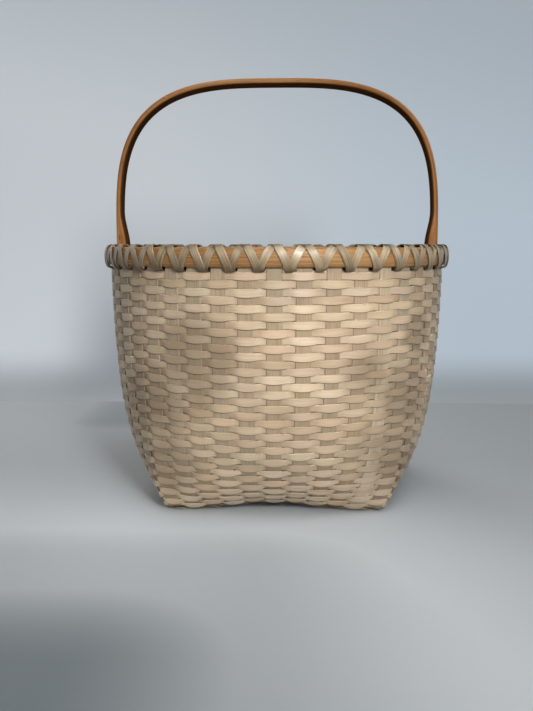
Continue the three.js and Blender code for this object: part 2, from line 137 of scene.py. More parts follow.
class Amount:
    """A number on a shader socket, which takes part in sums."""

    def __init__(self, paint: "Paint", socket: bpy.types.NodeSocket) -> None:
        """Wraps a socket of that paint's nodes."""
        self.paint = paint
        self.socket = socket

    def combine(self, operation: str, first: object, second: object) -> "Amount":
        """Adds the Math node for one step of a sum.

        Args:
            operation: Math node operation.
            first: Left side, a number or an Amount.
            second: Right side, a number or an Amount.

        Returns:
            The result as an Amount.
        """
        sockets = {"Value": first, "Value_001": second}
        made = self.paint.node("ShaderNodeMath", {"operation": operation}, sockets)
        return self.paint.amount(made, "Value")

    def __add__(self, other: object) -> "Amount":
        """Sum."""
        return self.combine("ADD", self, other)

    def __radd__(self, other: object) -> "Amount":
        """Sum with a number on the left."""
        return self.combine("ADD", other, self)

    def __sub__(self, other: object) -> "Amount":
        """Difference."""
        return self.combine("SUBTRACT", self, other)

    def __rsub__(self, other: object) -> "Amount":
        """Difference from a number."""
        return self.combine("SUBTRACT", other, self)

    def __mul__(self, other: object) -> "Amount":
        """Product."""
        return self.combine("MULTIPLY", self, other)

    def __rmul__(self, other: object) -> "Amount":
        """Product with a number on the left."""
        return self.combine("MULTIPLY", other, self)

    def __pow__(self, other: object) -> "Amount":
        """Power."""
        return self.combine("POWER", self, other)

    def larger(self, other: object) -> "Amount":
        """The larger of the two."""
        return self.combine("MAXIMUM", self, other)

    def between(self, low: float, high: float) -> "Amount":
        """Share of the way from low to high, eased and kept from 0 to 1.

        Args:
            low: Value at which the share is 0.
            high: Value at which it is 1; it may be the smaller one.

        Returns:
            The share as an Amount.
        """
        settings = {"interpolation_type": "SMOOTHSTEP"}
        sockets = {"Value": self, "From Min": low, "From Max": high}
        return self.paint.amount(self.paint.node("ShaderNodeMapRange", settings, sockets), "Result")


class Paint:
    """Builds the nodes of one material or world."""

    def __init__(self, owner: bpy.types.Material | bpy.types.World) -> None:
        """Starts on a new material or world, without its first nodes.

        Args:
            owner: The material or world.
        """
        self.owner = owner
        owner.use_nodes = True
        self.tree = owner.node_tree
        self.tree.nodes.clear()

    def node(self, kind: str, settings: dict[str, object], sockets: dict[str, object]) -> bpy.types.Node:
        """Adds one node.

        Args:
            kind: Node type.
            settings: Properties to set first; "stops" holds a ramp's (place, colour) pairs.
            sockets: Values or links by the socket's identifier or name.

        Returns:
            The node.
        """
        made = self.tree.nodes.new(kind)
        for key, value in settings.items():
            if key == "stops":
                self.set_stops(made.color_ramp, value)
            else:
                setattr(made, key, value)
        for key, value in sockets.items():
            socket = next((s for s in made.inputs if s.identifier == key), None) or made.inputs[key]
            value = value.socket if isinstance(value, Amount) else value
            if isinstance(value, bpy.types.NodeSocket):
                self.tree.links.new(value, socket)
            else:
                socket.default_value = value
        return made

    @staticmethod
    def set_stops(ramp: bpy.types.ColorRamp, stops: Sequence[tuple[float, tuple]]) -> None:
        """Gives a ramp its stops.

        Args:
            ramp: Ramp of a node just made, which has two stops.
            stops: Place from 0 to 1 and colour of each, in order.
        """
        for index, (place, shade) in enumerate(stops):
            stop = ramp.elements[index] if index < len(ramp.elements) else ramp.elements.new(place)
            stop.position = place
            stop.color = shade

    def amount(self, node: bpy.types.Node, output: str) -> Amount:
        """One output of a node as an Amount."""
        return Amount(self, node.outputs[output])

    def attribute(self, name: str) -> Amount:
        """A number that the mesh carries under that name."""
        return self.amount(self.node("ShaderNodeAttribute", {"attribute_name": name}, {}), "Fac")

    def grain_place(self) -> tuple[Amount, Amount]:
        """Place on the piece's surface.

        Returns:
            Metres along the grain and across it.
        """
        uv = self.node("ShaderNodeUVMap", {"uv_map": GRAIN_MAP}, {})
        split = self.node("ShaderNodeSeparateXYZ", {}, {"Vector": uv.outputs["UV"]})
        return self.amount(split, "X"), self.amount(split, "Y")

    def noise(self, x: object, y: object, z: object, detail: float = 2.0, roughness: float = 0.5) -> Amount:
        """Soft noise, with waves about one unit long.

        Args:
            x: First number of the place, a number or an Amount.
            y: Second number.
            z: Third number.
            detail: How many finer waves are added.
            roughness: How strong they are.

        Returns:
            The noise from 0 to 1, mostly near 0.5.
        """
        vector = self.node("ShaderNodeCombineXYZ", {}, {"X": x, "Y": y, "Z": z})
        sockets = {"Vector": vector.outputs["Vector"], "Scale": 1.0, "Detail": detail, "Roughness": roughness}
        return self.amount(self.node("ShaderNodeTexNoise", {}, sockets), "Fac")

    def blend(self, first: object, second: object, share: object) -> bpy.types.NodeSocket:
        """Mixes two colours.

        Args:
            first: Colour socket at share 0.
            second: Colour or colour socket at share 1.
            share: How much of the second, a number or an Amount.

        Returns:
            The mixed colour's socket.
        """
        settings = {"data_type": "RGBA", "blend_type": "MIX"}
        sockets = {"Factor_Float": share, "A_Color": first, "B_Color": second}
        made = self.node("ShaderNodeMix", settings, sockets)
        return next(s for s in made.outputs if s.identifier == "Result_Color")

    def wood(self, level: Amount, shades: Sequence[str]) -> bpy.types.NodeSocket:
        """Colour of wood by its level.

        Args:
            level: Lightness, where -1 is the darkest stop, mostly painted shade, 0 is deep and 1 is pale.
            shades: Hex codes of the darkest stop, deep, middle and pale.

        Returns:
            The colour's socket.
        """
        stops = list(zip((0.0, 0.5, 0.75, 1.0), map(colour, shades)))
        return self.node("ShaderNodeValToRGB", {"stops": stops}, {"Fac": level * 0.5 + 0.5}).outputs["Color"]

    def place(self) -> tuple[Amount, Amount, Amount]:
        """Place in the basket's own frame.

        Returns:
            X, y and z in metres.
        """
        at = self.node("ShaderNodeTexCoord", {}, {}).outputs["Object"]
        split = self.node("ShaderNodeSeparateXYZ", {}, {"Vector": at})
        return self.amount(split, "X"), self.amount(split, "Y"), self.amount(split, "Z")

    def finish(self, shade: object, roughness: object, height: Amount | None = None, depth: float = 0.0,
               shine: float = 0.5) -> bpy.types.Material:
        """Closes a material with its surface shader.

        Args:
            shade: Base colour socket.
            roughness: Roughness, a number or an Amount.
            height: Relief from 0 to 1, or None.
            depth: Height of the relief in metres.
            shine: Strength of the reflection, where 0.5 is common.

        Returns:
            The material.
        """
        sockets = {"Base Color": shade, "Roughness": roughness, "Specular IOR Level": shine}
        if height is not None:
            relief = {"Strength": 1.0, "Distance": depth, "Height": height}
            sockets["Normal"] = self.node("ShaderNodeBump", {}, relief).outputs["Normal"]
        surface = self.node("ShaderNodeBsdfPrincipled", {}, sockets)
        self.node("ShaderNodeOutputMaterial", {}, {"Surface": surface.outputs["BSDF"]})
        return self.owner


# Edge of a soft area: axis, where along it the area has faded out, and where it is full
Fade = tuple[str, float, float]


def area(place: Sequence[Amount], fades: Sequence[Fade], strength: float) -> Amount:
    """Soft area of a finish.

    Args:
        place: X, y and z of the place that is painted.
        fades: Its edges.
        strength: Its share where it is full.

    Returns:
        Its share at the place.
    """
    share = strength
    for axis, out, full in fades:
        share = place["xyz".index(axis)].between(out, full) * share
    return share


# Dark spots on the weave, partly real soil and partly painted shade on the front's left: x, y and z of the
# middle, and how far it reaches
SOIL_AND_SHADE_SPOTS = (
    (-0.06, -0.14, 0.14, 0.05),
    (-0.1, -0.11, 0.1, 0.05),
    (-0.085, -0.11, 0.05, 0.04),
    (0.108, -0.1, 0.105, 0.045),
    (0.095, -0.1, 0.06, 0.045),
    (0.078, -0.135, 0.13, 0.03),
    (0.12, -0.09, 0.16, 0.03),
    (0.1, 0.11, 0.14, 0.05),
    (-0.11, 0.1, 0.07, 0.045),
)


@dataclass(frozen=True)
class SplintFinish:
    """Thin split wood: fine fibres along the splint, patches of tone and a soft sheen."""

    name: str
    pale: str
    middle: str
    deep: str
    fibre: str
    warm: str
    straw: str
    grey: str
    stain: str
    # Darkest stop, mostly painted shade: the shadow lines under the floats, the lashing's turns and the
    # stakes near the base
    darkest_and_shade: str = "3a2e20"
    fibre_share: float = 0.35
    hair_share: float = 0.45
    patch_length: float = 60 * MM
    fibre_width: float = 0.45 * MM
    fibre_length: float = 30 * MM
    roughness: float = 0.6
    roughness_spread: float = 0.14
    relief: float = 0.05 * MM
    speck_share: float = 0.5
    patch_share: float = 0.75
    hue_share: float = 0.3
    stain_share: float = 0.3
    # Colour, share and shape of the dark spots, partly soil and partly painted shade
    soil_and_shade: str = "6f5f4b"
    soil_and_shade_share: float = 0.5
    spot_core: float = 0.35
    spot_ragged: float = 60 * MM
    speck_along: float = 420.0
    speck_across: float = 900.0

    def build(self) -> bpy.types.Material:
        """Makes the material. The factors on strip only give each splint a place of its own in the noise.

        Returns:
            The material.
        """
        paint = Paint(bpy.data.materials.new(self.name))
        along, across = paint.grain_place()
        strip = paint.attribute(STRIP)
        patch = paint.noise(along * (1 / self.patch_length) + strip * 91, across * 90, strip * 37, 3.0, 0.6)
        fibre_x = along * (1 / self.fibre_length) + strip * 53
        fibre = paint.noise(fibre_x, across * (1 / self.fibre_width), strip * 17, 3.0, 0.65)
        hair = paint.noise(fibre_x * 3, across * (3 / self.fibre_width), strip * 29, 2.0, 0.6)
        level = paint.attribute(TONE) + (patch - 0.5) * self.patch_share
        body = paint.wood(level, (self.darkest_and_shade, self.deep, self.middle, self.pale))
        drift = paint.noise(along * 3.2 + strip * 61, strip * 19, strip * 7, 1.0)
        body = paint.blend(body, colour(self.warm), drift.between(0.5, 0.66) * self.hue_share)
        body = paint.blend(body, colour(self.straw), drift.between(0.5, 0.36) * self.hue_share)
        ageing = paint.noise(along * 5.5 + strip * 23, strip * 43, strip * 11, 1.0)
        body = paint.blend(body, colour(self.grey), ageing.between(0.5, 0.68) * self.hue_share)
        x, y, z = paint.place()
        spread = paint.noise(x * 15 + 3.7, y * 15, z * 22 + 1.3, 2.0)
        body = paint.blend(body, colour(self.stain), spread.between(0.5, 0.68) * self.stain_share)
        ragged = (spread - 0.5) * self.spot_ragged
        # Dark spots: partly real soil, partly painted shade on the front's left
        soiled_and_shaded = 0.0
        for px, py, pz, radius in SOIL_AND_SHADE_SPOTS:
            away = ((x - px) ** 2 + (y - py) ** 2 + (z - pz) ** 2) ** 0.5 + ragged
            soiled_and_shaded = away.between(radius, radius * self.spot_core).larger(soiled_and_shaded)
        body = paint.blend(body, colour(self.soil_and_shade), soiled_and_shaded * self.soil_and_shade_share)
        lines = fibre.between(0.42, 0.72) + hair.between(0.5, 0.8) * self.hair_share
        shade = paint.blend(body, colour(self.fibre), lines * self.fibre_share)
        speck = paint.noise(along * self.speck_along + strip * 11, across * self.speck_across, strip * 5, 1.0)
        shade = paint.blend(shade, colour(self.fibre), speck.between(0.72, 0.8) * self.speck_share)
        rough = (fibre - 0.5) * self.roughness_spread + (patch - 0.5) * 0.1 + self.roughness
        return paint.finish(shade, rough, fibre * 0.7 + hair * 0.3, self.relief)


@dataclass(frozen=True)
class BentWoodFinish:
    """Planed wood: long dark pores and growth lines along the bend."""

    name: str
    pale: str
    middle: str
    deep: str
    pore: str
    # Darkest stop: painted shade on the handle's inner face, and the darkest growth lines
    darkest_and_shade: str = "382514"
    line_width: float = 1.1 * MM
    line_length: float = 140 * MM
    line_sway: float = 2.5 * MM
    pore_width: float = 0.35 * MM
    pore_length: float = 9 * MM
    line_contrast: float = 1.3
    patch_share: float = 0.5
    pore_share: float = 0.6
    roughness: float = 0.48
    shine: float = 0.4
    relief: float = 0.06 * MM

    def build(self) -> bpy.types.Material:
        """Makes the material.

        Returns:
            The material.
        """
        paint = Paint(bpy.data.materials.new(self.name))
        along, across = paint.grain_place()
        strip = paint.attribute(STRIP)
        sway = paint.noise(along * 9 + strip * 7, across * 30, strip * 13, 2.0)
        bent = across + sway * self.line_sway
        line_x, pore_x = along * (1 / self.line_length), along * (1 / self.pore_length)
        growth = paint.noise(line_x, bent * (1 / self.line_width), strip * 23, 3.0, 0.6)
        pores = paint.noise(pore_x, bent * (1 / self.pore_width), strip * 31, 2.0, 0.6)
        patch = paint.noise(along * 14 + strip * 41, across * 45, strip * 3, 3.0, 0.6)
        level = paint.attribute(TONE) + (patch - 0.5) * self.patch_share
        level = level + (growth - 0.5) * self.line_contrast
        body = paint.wood(level, (self.darkest_and_shade, self.deep, self.middle, self.pale))
        dark = pores.between(0.56, 0.72)
        shade = paint.blend(body, colour(self.pore), dark * self.pore_share)
        rough = self.roughness + dark * 0.18 + (patch - 0.5) * 0.12
        return paint.finish(shade, rough, growth * 0.4 - dark * 0.6, self.relief, self.shine)


STAKE_WOOD = SplintFinish(
    "stake_wood", "dccdb5", "b5a088", "958063", "78654b", fibre_share=0.5, fibre_width=0.8 * MM,
    roughness=0.62, warm="ae9678", straw="b5a27c", grey="a39987", stain="84745c", hue_share=0.5)
WEAVER_WOOD = SplintFinish(
    "weaver_wood", "e4d3bb", "c9b49b", "a38d73", "917c5d", fibre_share=0.36, fibre_width=0.6 * MM,
    roughness=0.45, warm="d8b191", straw="dcc9a2", grey="b0a491", hue_share=0.27, stain="93816a")
LASHING_WOOD = SplintFinish(
    "lashing_wood", "dacaaf", "ae9d83", "76644b", "4c3d29", fibre_share=0.6, patch_length=25 * MM,
    fibre_width=0.8 * MM, roughness=0.34, relief=0.08 * MM, warm="a88d70", straw="aa9b7a", grey="958a7a",
    stain="7a694f")
HOOP_WOOD = BentWoodFinish(
    "hoop_wood", "be9262", "9e7546", "76522e", "53361d", line_width=0.9 * MM, line_contrast=1.7,
    pore_share=0.7)
HANDLE_WOOD = BentWoodFinish(
    "handle_wood", "e8b484", "c48b5a", "704a2b", "452d18", line_width=1.5 * MM, roughness=0.55, shine=0.0)


@dataclass(frozen=True)
class FloorFinish:
    """Matt pale floor with painted shadows: dimmer at the back, at the near left, in front of the basket and
    beside it.
    """

    shade: str = "e6eef6"
    # Colour of the painted shadows, and the strength and edges of each
    dim: str = "77828a"
    roughness: float = 0.9
    painted_shade_areas: tuple[tuple[float, tuple[Fade, ...]], ...] = (
        (0.6, (("y", -0.42, 0.1),)),
        (0.95, (("y", -0.16, -0.39), ("x", 0.1, -0.12))),
        (0.5, (("y", -0.06, -0.22), ("x", 0.16, -0.02))),
        (0.8, (("y", 0.12, 0.3), ("x", -0.4, -0.22), ("x", 0.1, 0.0))),
    )

    def build(self) -> bpy.types.Material:
        """Makes the material.

        Returns:
            The material.
        """
        paint = Paint(bpy.data.materials.new("studio_floor_paint"))
        place = paint.place()
        # Painted shadows on the floor
        dim = 0.0
        for strength, fades in self.painted_shade_areas:
            dim = area(place, fades, strength).larger(dim)
        return paint.finish(paint.blend(colour(self.shade), colour(self.dim), dim), self.roughness)


@dataclass(frozen=True)
class BackdropFinish:
    """Blue-grey backdrop that glows a little, shows its front only and has painted shade at its top right and
    foot.
    """

    pale: str = "a9aeb2"
    right: str = "99a5b0"
    # Painted shade: darker towards the top right, and at the foot where the sheet curves into the floor
    high: str = "7d868e"
    foot: str = "5b6166"
    matt: str = "9aa0a6"
    slant: float = 0.25
    foot_height: float = 0.074
    # Painted shadow of the basket on the sheet, to its left, in the foot colour
    beside: tuple[Fade, ...] = (("x", -0.37, -0.24), ("x", 0.1, 0.0), ("z", 0.33, 0.1))
    painted_shadow_share: float = 0.75

    def build(self) -> bpy.types.Material:
        """Makes the material.

        Returns:
            The material.
        """
        paint = Paint(bpy.data.materials.new("studio_backdrop_paint"))
        place = paint.place()
        x, _, z = place
        shade = paint.blend(colour(self.pale), colour(self.right), x.between(-0.2, 0.3))
        # Painted shade towards the top right and at the foot, and the painted shadow beside the basket
        shade = paint.blend(shade, colour(self.high), (z + x * self.slant).between(0.3, 0.74))
        shade = paint.blend(shade, colour(self.foot), z.between(self.foot_height, 0.0))
        shade = paint.blend(shade, colour(self.foot), area(place, self.beside, self.painted_shadow_share))
        glow = paint.node("ShaderNodeEmission", {}, {"Color": shade, "Strength": 1.0}).outputs["Emission"]
        matt = paint.node("ShaderNodeBsdfDiffuse", {}, {"Color": colour(self.matt)}).outputs["BSDF"]
        front = paint.node("ShaderNodeAddShader", {}, {"Shader": glow, "Shader_001": matt}).outputs["Shader"]
        clear = paint.node("ShaderNodeBsdfTransparent", {}, {}).outputs["BSDF"]
        behind = paint.amount(paint.node("ShaderNodeNewGeometry", {}, {}), "Backfacing")
        sides = {"Fac": behind, "Shader": front, "Shader_001": clear}
        sheet = paint.node("ShaderNodeMixShader", {}, sides)
        paint.node("ShaderNodeOutputMaterial", {}, {"Surface": sheet.outputs["Shader"]})
        return paint.owner


SEAM_GAP = 2e-7   # Points closer than this are the two sides of a seam
SPLINT_CREASE = 28.0   # Edges of a splint that turn more than this, in degrees, stay sharp


def sweep(name: str, rings: np.ndarray, lengths: np.ndarray, tone: np.ndarray, strip: float,
          smooth_angle: float) -> bpy.types.Object:
    """Makes one closed body from a run of sections.

    A grid primitive gets one row a section and one column a section corner. It is rolled up onto the sections
    and joined along its long edge, and its two ends are filled.

    Args:
        name: Piece name.
        rings: Places of the section corners, sections by corners by 3.
        lengths: Distance along the grain at each section.
        tone: Level of the wood's lightness, sections by corners, or by 1 if it is the same all round.
        strip: Number that tells this piece's grain from another's.
        smooth_angle: Edges that turn more than this, in degrees, stay sharp.

    Returns:
        The object, at the origin.
    """
    count, corners = rings.shape[:2]
    rings = np.concatenate([rings, rings[:, :1]], axis=1)
    around = np.linalg.norm(np.diff(rings, axis=1), axis=2).mean(axis=0)
    around = np.concatenate([[0.0], np.cumsum(around)])
    bpy.ops.object.select_all(action="DESELECT")
    bpy.ops.mesh.primitive_grid_add(x_subdivisions=corners, y_subdivisions=count - 1, size=2)
    piece = bpy.context.object
    piece.name = name
    mesh = piece.data
    mesh.name = name
    flat = np.empty(len(mesh.vertices) * 3)
    mesh.vertices.foreach_get("co", flat)
    flat = flat.reshape(-1, 3)
    column = np.rint((flat[:, 0] + 1) / 2 * corners).astype(int)
    row = np.rint((flat[:, 1] + 1) / 2 * (count - 1)).astype(int)
    mesh.vertices.foreach_set("co", rings[row, column].ravel())
    corner_vertex = np.empty(len(mesh.loops), int)
    mesh.loops.foreach_get("vertex_index", corner_vertex)
    places = np.stack([lengths[row[corner_vertex]], around[column[corner_vertex]]], axis=1)
    mesh.uv_layers[0].name = GRAIN_MAP
    mesh.uv_layers[0].data.foreach_set("uv", places.ravel())
    tones = np.broadcast_to(tone, (count, corners))[row, column % corners]
    for key, values in ((TONE, tones), (STRIP, np.full(len(row), strip))):
        mesh.attributes.new(key, "FLOAT", "POINT").data.foreach_set("value", values.astype(np.float32))
    mesh.update()
    bpy.ops.object.mode_set(mode="EDIT")
    bpy.ops.mesh.select_all(action="SELECT")
    bpy.ops.mesh.remove_doubles(threshold=SEAM_GAP)
    bpy.ops.mesh.select_all(action="DESELECT")
    bpy.ops.mesh.select_mode(type="EDGE")
    bpy.ops.mesh.select_non_manifold()
    bpy.ops.mesh.fill_holes(sides=0)
    bpy.ops.mesh.select_mode(type="VERT")
    bpy.ops.mesh.select_all(action="SELECT")
    bpy.ops.mesh.normals_make_consistent(inside=False)
    bpy.ops.object.mode_set(mode="OBJECT")
    bpy.ops.object.shade_smooth_by_angle(angle=math.radians(smooth_angle))
    return piece


def keep(piece: bpy.types.Object, slot: Slot, material: bpy.types.Material, *nodes: str) -> None:
    """Dresses a piece, hangs it on the basket's one body and lets it stand for its solids.

    Args:
        piece: The finished piece.
        slot: Material slot of the record that it belongs to; not used.
        material: Its finish.
        nodes: Solids that it replaces.
    """
    piece.data.materials.clear()
    piece.data.materials.append(material)
    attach(piece, "root")
    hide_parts(*nodes)
    LOG.info("%s stands for %s", piece.name, ", ".join(nodes))


# Corners of a thin strip's section as share of half its width and of half its thickness
RIBBON_CORNERS = ((-1, 0), (-1, 1), (0, 1), (1, 1), (1, 0), (1, -1), (0, -1), (-1, -1))
# How far each corner takes part in the painted shadow line along the strip's lower edge
LOWER_EDGE = np.array([1.0, 0.12, 0.0, 0.02, 0.12, 0.0, 0.0, 0.12])


def ribbon(centre: np.ndarray, across: np.ndarray, out: np.ndarray, width: np.ndarray, thickness: np.ndarray,
           crown: np.ndarray | float, edge: float) -> np.ndarray:
    """Sections of a thin strip with rounded edges.

    Args:
        centre: Middle of each section.
        across: Direction of the strip's width at each section.
        out: Direction of its thickness.
        width: Width at each section.
        thickness: Thickness at each section.
        crown: How far the middle of the width bulges along out.
        edge: Length over which the edges round off.

    Returns:
        Sections by eight corners by 3.
    """
    half = np.broadcast_to(np.asarray(width, float) / 2, (len(centre),))
    thick = np.broadcast_to(np.asarray(thickness, float) / 2, (len(centre),))
    bulge = np.broadcast_to(np.asarray(crown, float), (len(centre),))
    inset = 1 - edge / half
    corners = []
    for side, b in RIBBON_CORNERS:
        a = side * inset if b else side
        lift = b * thick + bulge * (1 - np.square(a))
        corners.append(centre + across * (a * half)[:, None] + out * lift[:, None])
    return np.stack(corners, axis=1)


@dataclass(frozen=True)
class WallSizes:
    """Driving sizes of the wall and base, as in the solids, and the heights at which lines are kept."""

    radius: float = 155.5 * MM
    rim_top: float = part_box("rim_outer")[1].z
    stakes_per_side: int = 11
    pitch: float = radius * 0.111
    base_arch: float = 6.4 * MM
    corner_height: float = 1.05 * MM
    edge_rise: float = 0.9 * MM
    edge_margin: float = 1.9 * MM
    front_spread: float = 0.03
    front_twist: float = 0.01
    corner_twist: float = 0.032
    slow_share: float = 0.6
    slow_rate: float = 3.4
    fast_rate: float = 12.0
    rows: int = 36
    low_pitch_share: float = 0.85
    weave_top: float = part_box("rim_outer")[1].z - 19.4 * MM
    stake_top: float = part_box("rim_outer")[1].z - 1.2 * MM
    climb_start: int = 18
    climb_stakes: int = 9
    climb_apart: int = 10
    line_samples: int = 900
    first_kept: float = -1.0
    last_kept: float = 40.0
    kept_step: float = 0.1
    corner_reach: float = 1.05


class Wall:
    """The basket's wall as a smooth surface, by stake and woven row."""

    def __init__(self, size: WallSizes) -> None:
        """Works out each stake's line and keeps it by row height.

        Args:
            size: Driving sizes of the wall.
        """
        self.size = size
        self.count = size.stakes_per_side * 4
        self.half_side = (size.stakes_per_side - 1) // 2
        self.edge_line = self.half_side * size.pitch
        self.base_half = size.stakes_per_side * size.pitch / 2
        self.step = size.kept_step
        self.rows = np.arange(size.first_kept, size.last_kept, self.step)
        lines = [self.stake_line(n) for n in range(self.count)]
        self.centre = np.stack([line[0] for line in lines])
        self.turn = np.stack([line[1] for line in lines])
        slope = np.gradient(self.centre, axis=1)
        self.up = unit(slope)
        self.row_length = np.linalg.norm(slope, axis=2) / self.step
        ahead = np.roll(self.centre[:, :, 2], -1, axis=0)
        behind = np.roll(self.centre[:, :, 2], 1, axis=0)
        self.rise = (ahead - behind) / 2

    def spread(self, angle: np.ndarray | float) -> np.ndarray | float:
        """Moves an angle so that stakes are wider apart in front and lean over the corners.

        Args:
            angle: Angle round the rim from the front, with the stakes evenly apart.

        Returns:
            The angle as the stakes have it.
        """
        front = self.size.front_spread * np.sin(2 * angle) + self.size.front_twist * np.cos(angle) ** 2
        return angle + front + self.size.corner_twist * np.sin(2 * angle) ** 2

    def base_height(self, x: np.ndarray | float, y: np.ndarray | float) -> np.ndarray | float:
        """Height of the middle of the base sheet.

        Args:
            x: Place from handle end to handle end.
            y: Place from front to back.

        Returns:
            The height.
        """
        def rise(v: np.ndarray | float) -> np.ndarray | float:
            """Arch along one direction, level past the edge line."""
            kept = np.clip(v, -self.edge_line, self.edge_line)
            return self.size.base_arch * (1 + np.cos(np.pi * kept / self.edge_line)) / 2
        return self.size.corner_height + rise(x) + rise(y)

    def row_share(self, r: np.ndarray) -> np.ndarray:
        """Shares out the woven height; the rows pack closer low down.

        Args:
            r: Boundaries between rows, counted from the base edge.

        Returns:
            Share of the woven height below each.
        """
        low = self.size.low_pitch_share
        f = r / self.size.rows
        return (low * f + (1 - low) * f * f / 2) / ((1 + low) / 2)

    def flare(self, t: np.ndarray | float) -> np.ndarray | float:
        """Flare of the wall.

        Args:
            t: Share of the height.

        Returns:
            Share of the way from the base edge out to the rim circle.
        """
        s = self.size

        def spread_at(v: np.ndarray | float) -> np.ndarray | float:
            """The same before it is scaled to end at 1."""
            slow = s.slow_share * np.exp(-s.slow_rate * v)
            return 1 - slow - (1 - s.slow_share) * np.exp(-s.fast_rate * v)
        return spread_at(t) / spread_at(1.0)

    def stake_line(self, n: int) -> tuple[np.ndarray, np.ndarray]:
        """Middle line of one stake above the base edge.

        Args:
            n: Stake, counted from the front's left corner towards +X.

        Returns:
            Its points and its turn about Z, at each of the kept row heights.
        """
        s = self.size
        side, i = divmod(n, s.stakes_per_side)
        i -= self.half_side
        step_angle = 2 * np.pi / self.count
        side_angle = side * np.pi / 2
        rim_turn = self.spread(side_angle + i * step_angle) - side_angle
        t = np.linspace(0, 1, s.line_samples)
        g = self.flare(t)
        foot = self.base_height(i * s.pitch, self.edge_line) + s.edge_rise
        x = mix(i * s.pitch, s.radius * np.sin(rim_turn), g)
        y = mix(-self.base_half, -s.radius * np.cos(rim_turn), g)
        z = mix(foot, s.rim_top, t)
        c, d = np.cos(side_angle), np.sin(side_angle)
        points = np.stack([x * c - y * d, x * d + y * c, z], axis=1)
        length = run_length(points)
        woven = np.interp(s.weave_top, z, length)
        run = woven - s.edge_margin
        top_pitch = run * (self.row_share(s.rows) - self.row_share(s.rows - 1))
        low_pitch = run * (self.row_share(1) - self.row_share(0))
        inside = mix(s.edge_margin, woven, self.row_share(np.clip(self.rows, 0, s.rows)))
        target = inside + np.maximum(self.rows - s.rows, 0) * top_pitch + np.minimum(self.rows, 0) * low_pitch
        target = np.clip(target, 0, length[-1])
        line = np.stack([np.interp(target, length, points[:, axis]) for axis in range(3)], axis=1)
        turn = side_angle + rim_turn * np.interp(target, length, g)
        return line, turn

    def pick(self, table: np.ndarray, n: np.ndarray, r: np.ndarray) -> np.ndarray:
        """Reads a kept table between its row heights.

        Args:
            table: Kept values, stakes by row heights, of numbers or vectors.
            n: Stake of each place.
            r: Row height of each place.

        Returns:
            Value at each place.
        """
        place = (np.clip(r, self.rows[0], self.rows[-1] - 1e-9) - self.rows[0]) / self.step
        low = np.minimum(place.astype(int), len(self.rows) - 2)
        f = place - low
        a, b = table[n, low], table[n, low + 1]
        return a + (b - a) * (f[:, None] if a.ndim > 1 else f)

    def at(self, u: np.ndarray, r: np.ndarray) -> tuple[np.ndarray, np.ndarray, np.ndarray]:
        """Place and directions on the wall's middle surface.

        Args:
            u: Place round the wall, in stakes.
            r: Height in rows.

        Returns:
            Point, upward direction and outward direction.
        """
        k = np.floor(u).astype(int)
        f = u - k
        tables = (self.centre, self.turn, self.rise, self.up)
        c0, t0, lift0, up0 = (self.pick(table, k % self.count, r) for table in tables)
        c1, t1, lift1, up1 = (self.pick(table, (k + 1) % self.count, r) for table in tables)
        bend = (t1 - t0) % (2 * np.pi)
        chord = np.linalg.norm(c1 - c0, axis=1)
        reach = chord * (1 + self.size.corner_reach * bend / (np.pi / 2))
        m0 = np.stack([np.cos(t0) * reach, np.sin(t0) * reach, lift0], axis=1)
        m1 = np.stack([np.cos(t1) * reach, np.sin(t1) * reach, lift1], axis=1)
        g = f[:, None]
        point = (2 * g**3 - 3 * g**2 + 1) * c0 + (g**3 - 2 * g**2 + g) * m0
        point = point + (3 * g**2 - 2 * g**3) * c1 + (g**3 - g**2) * m1
        run = (6 * g**2 - 6 * g) * (c0 - c1) + (3 * g**2 - 4 * g + 1) * m0 + (3 * g**2 - 2 * g) * m1
        up = unit(mix(up0, up1, g))
        out = unit(np.cross(unit(run), up))
        return point, up, out

    def pitch_at(self, u: np.ndarray, r: np.ndarray) -> np.ndarray:
        """Distance between neighbouring stakes.

        Args:
            u: Place round the wall, in stakes.
            r: Height in rows.

        Returns:
            The distance at each place.
        """
        k = np.floor(u).astype(int)
        c0 = self.pick(self.centre, k % self.count, r)
        c1 = self.pick(self.centre, (k + 1) % self.count, r)
        return np.linalg.norm(c1 - c0, axis=1)

    def row_at(self, u: np.ndarray, r: np.ndarray) -> np.ndarray:
        """Height of one row."""
        return self.pick(self.row_length, np.rint(u).astype(int) % self.count, r)

    def climb(self, u: np.ndarray | float) -> np.ndarray | float:
        """Climb of a weaver: level in front, one row up in each of two stretches at the back.

        Args:
            u: Stakes passed since its start.

        Returns:
            Rows climbed by then.
        """
        s = self.size
        start = u - s.climb_start
        turns = np.floor(start / self.count)
        local = start - turns * self.count
        first = smooth(local / s.climb_stakes)
        return 2 * turns + first + smooth((local - s.climb_apart) / s.climb_stakes)


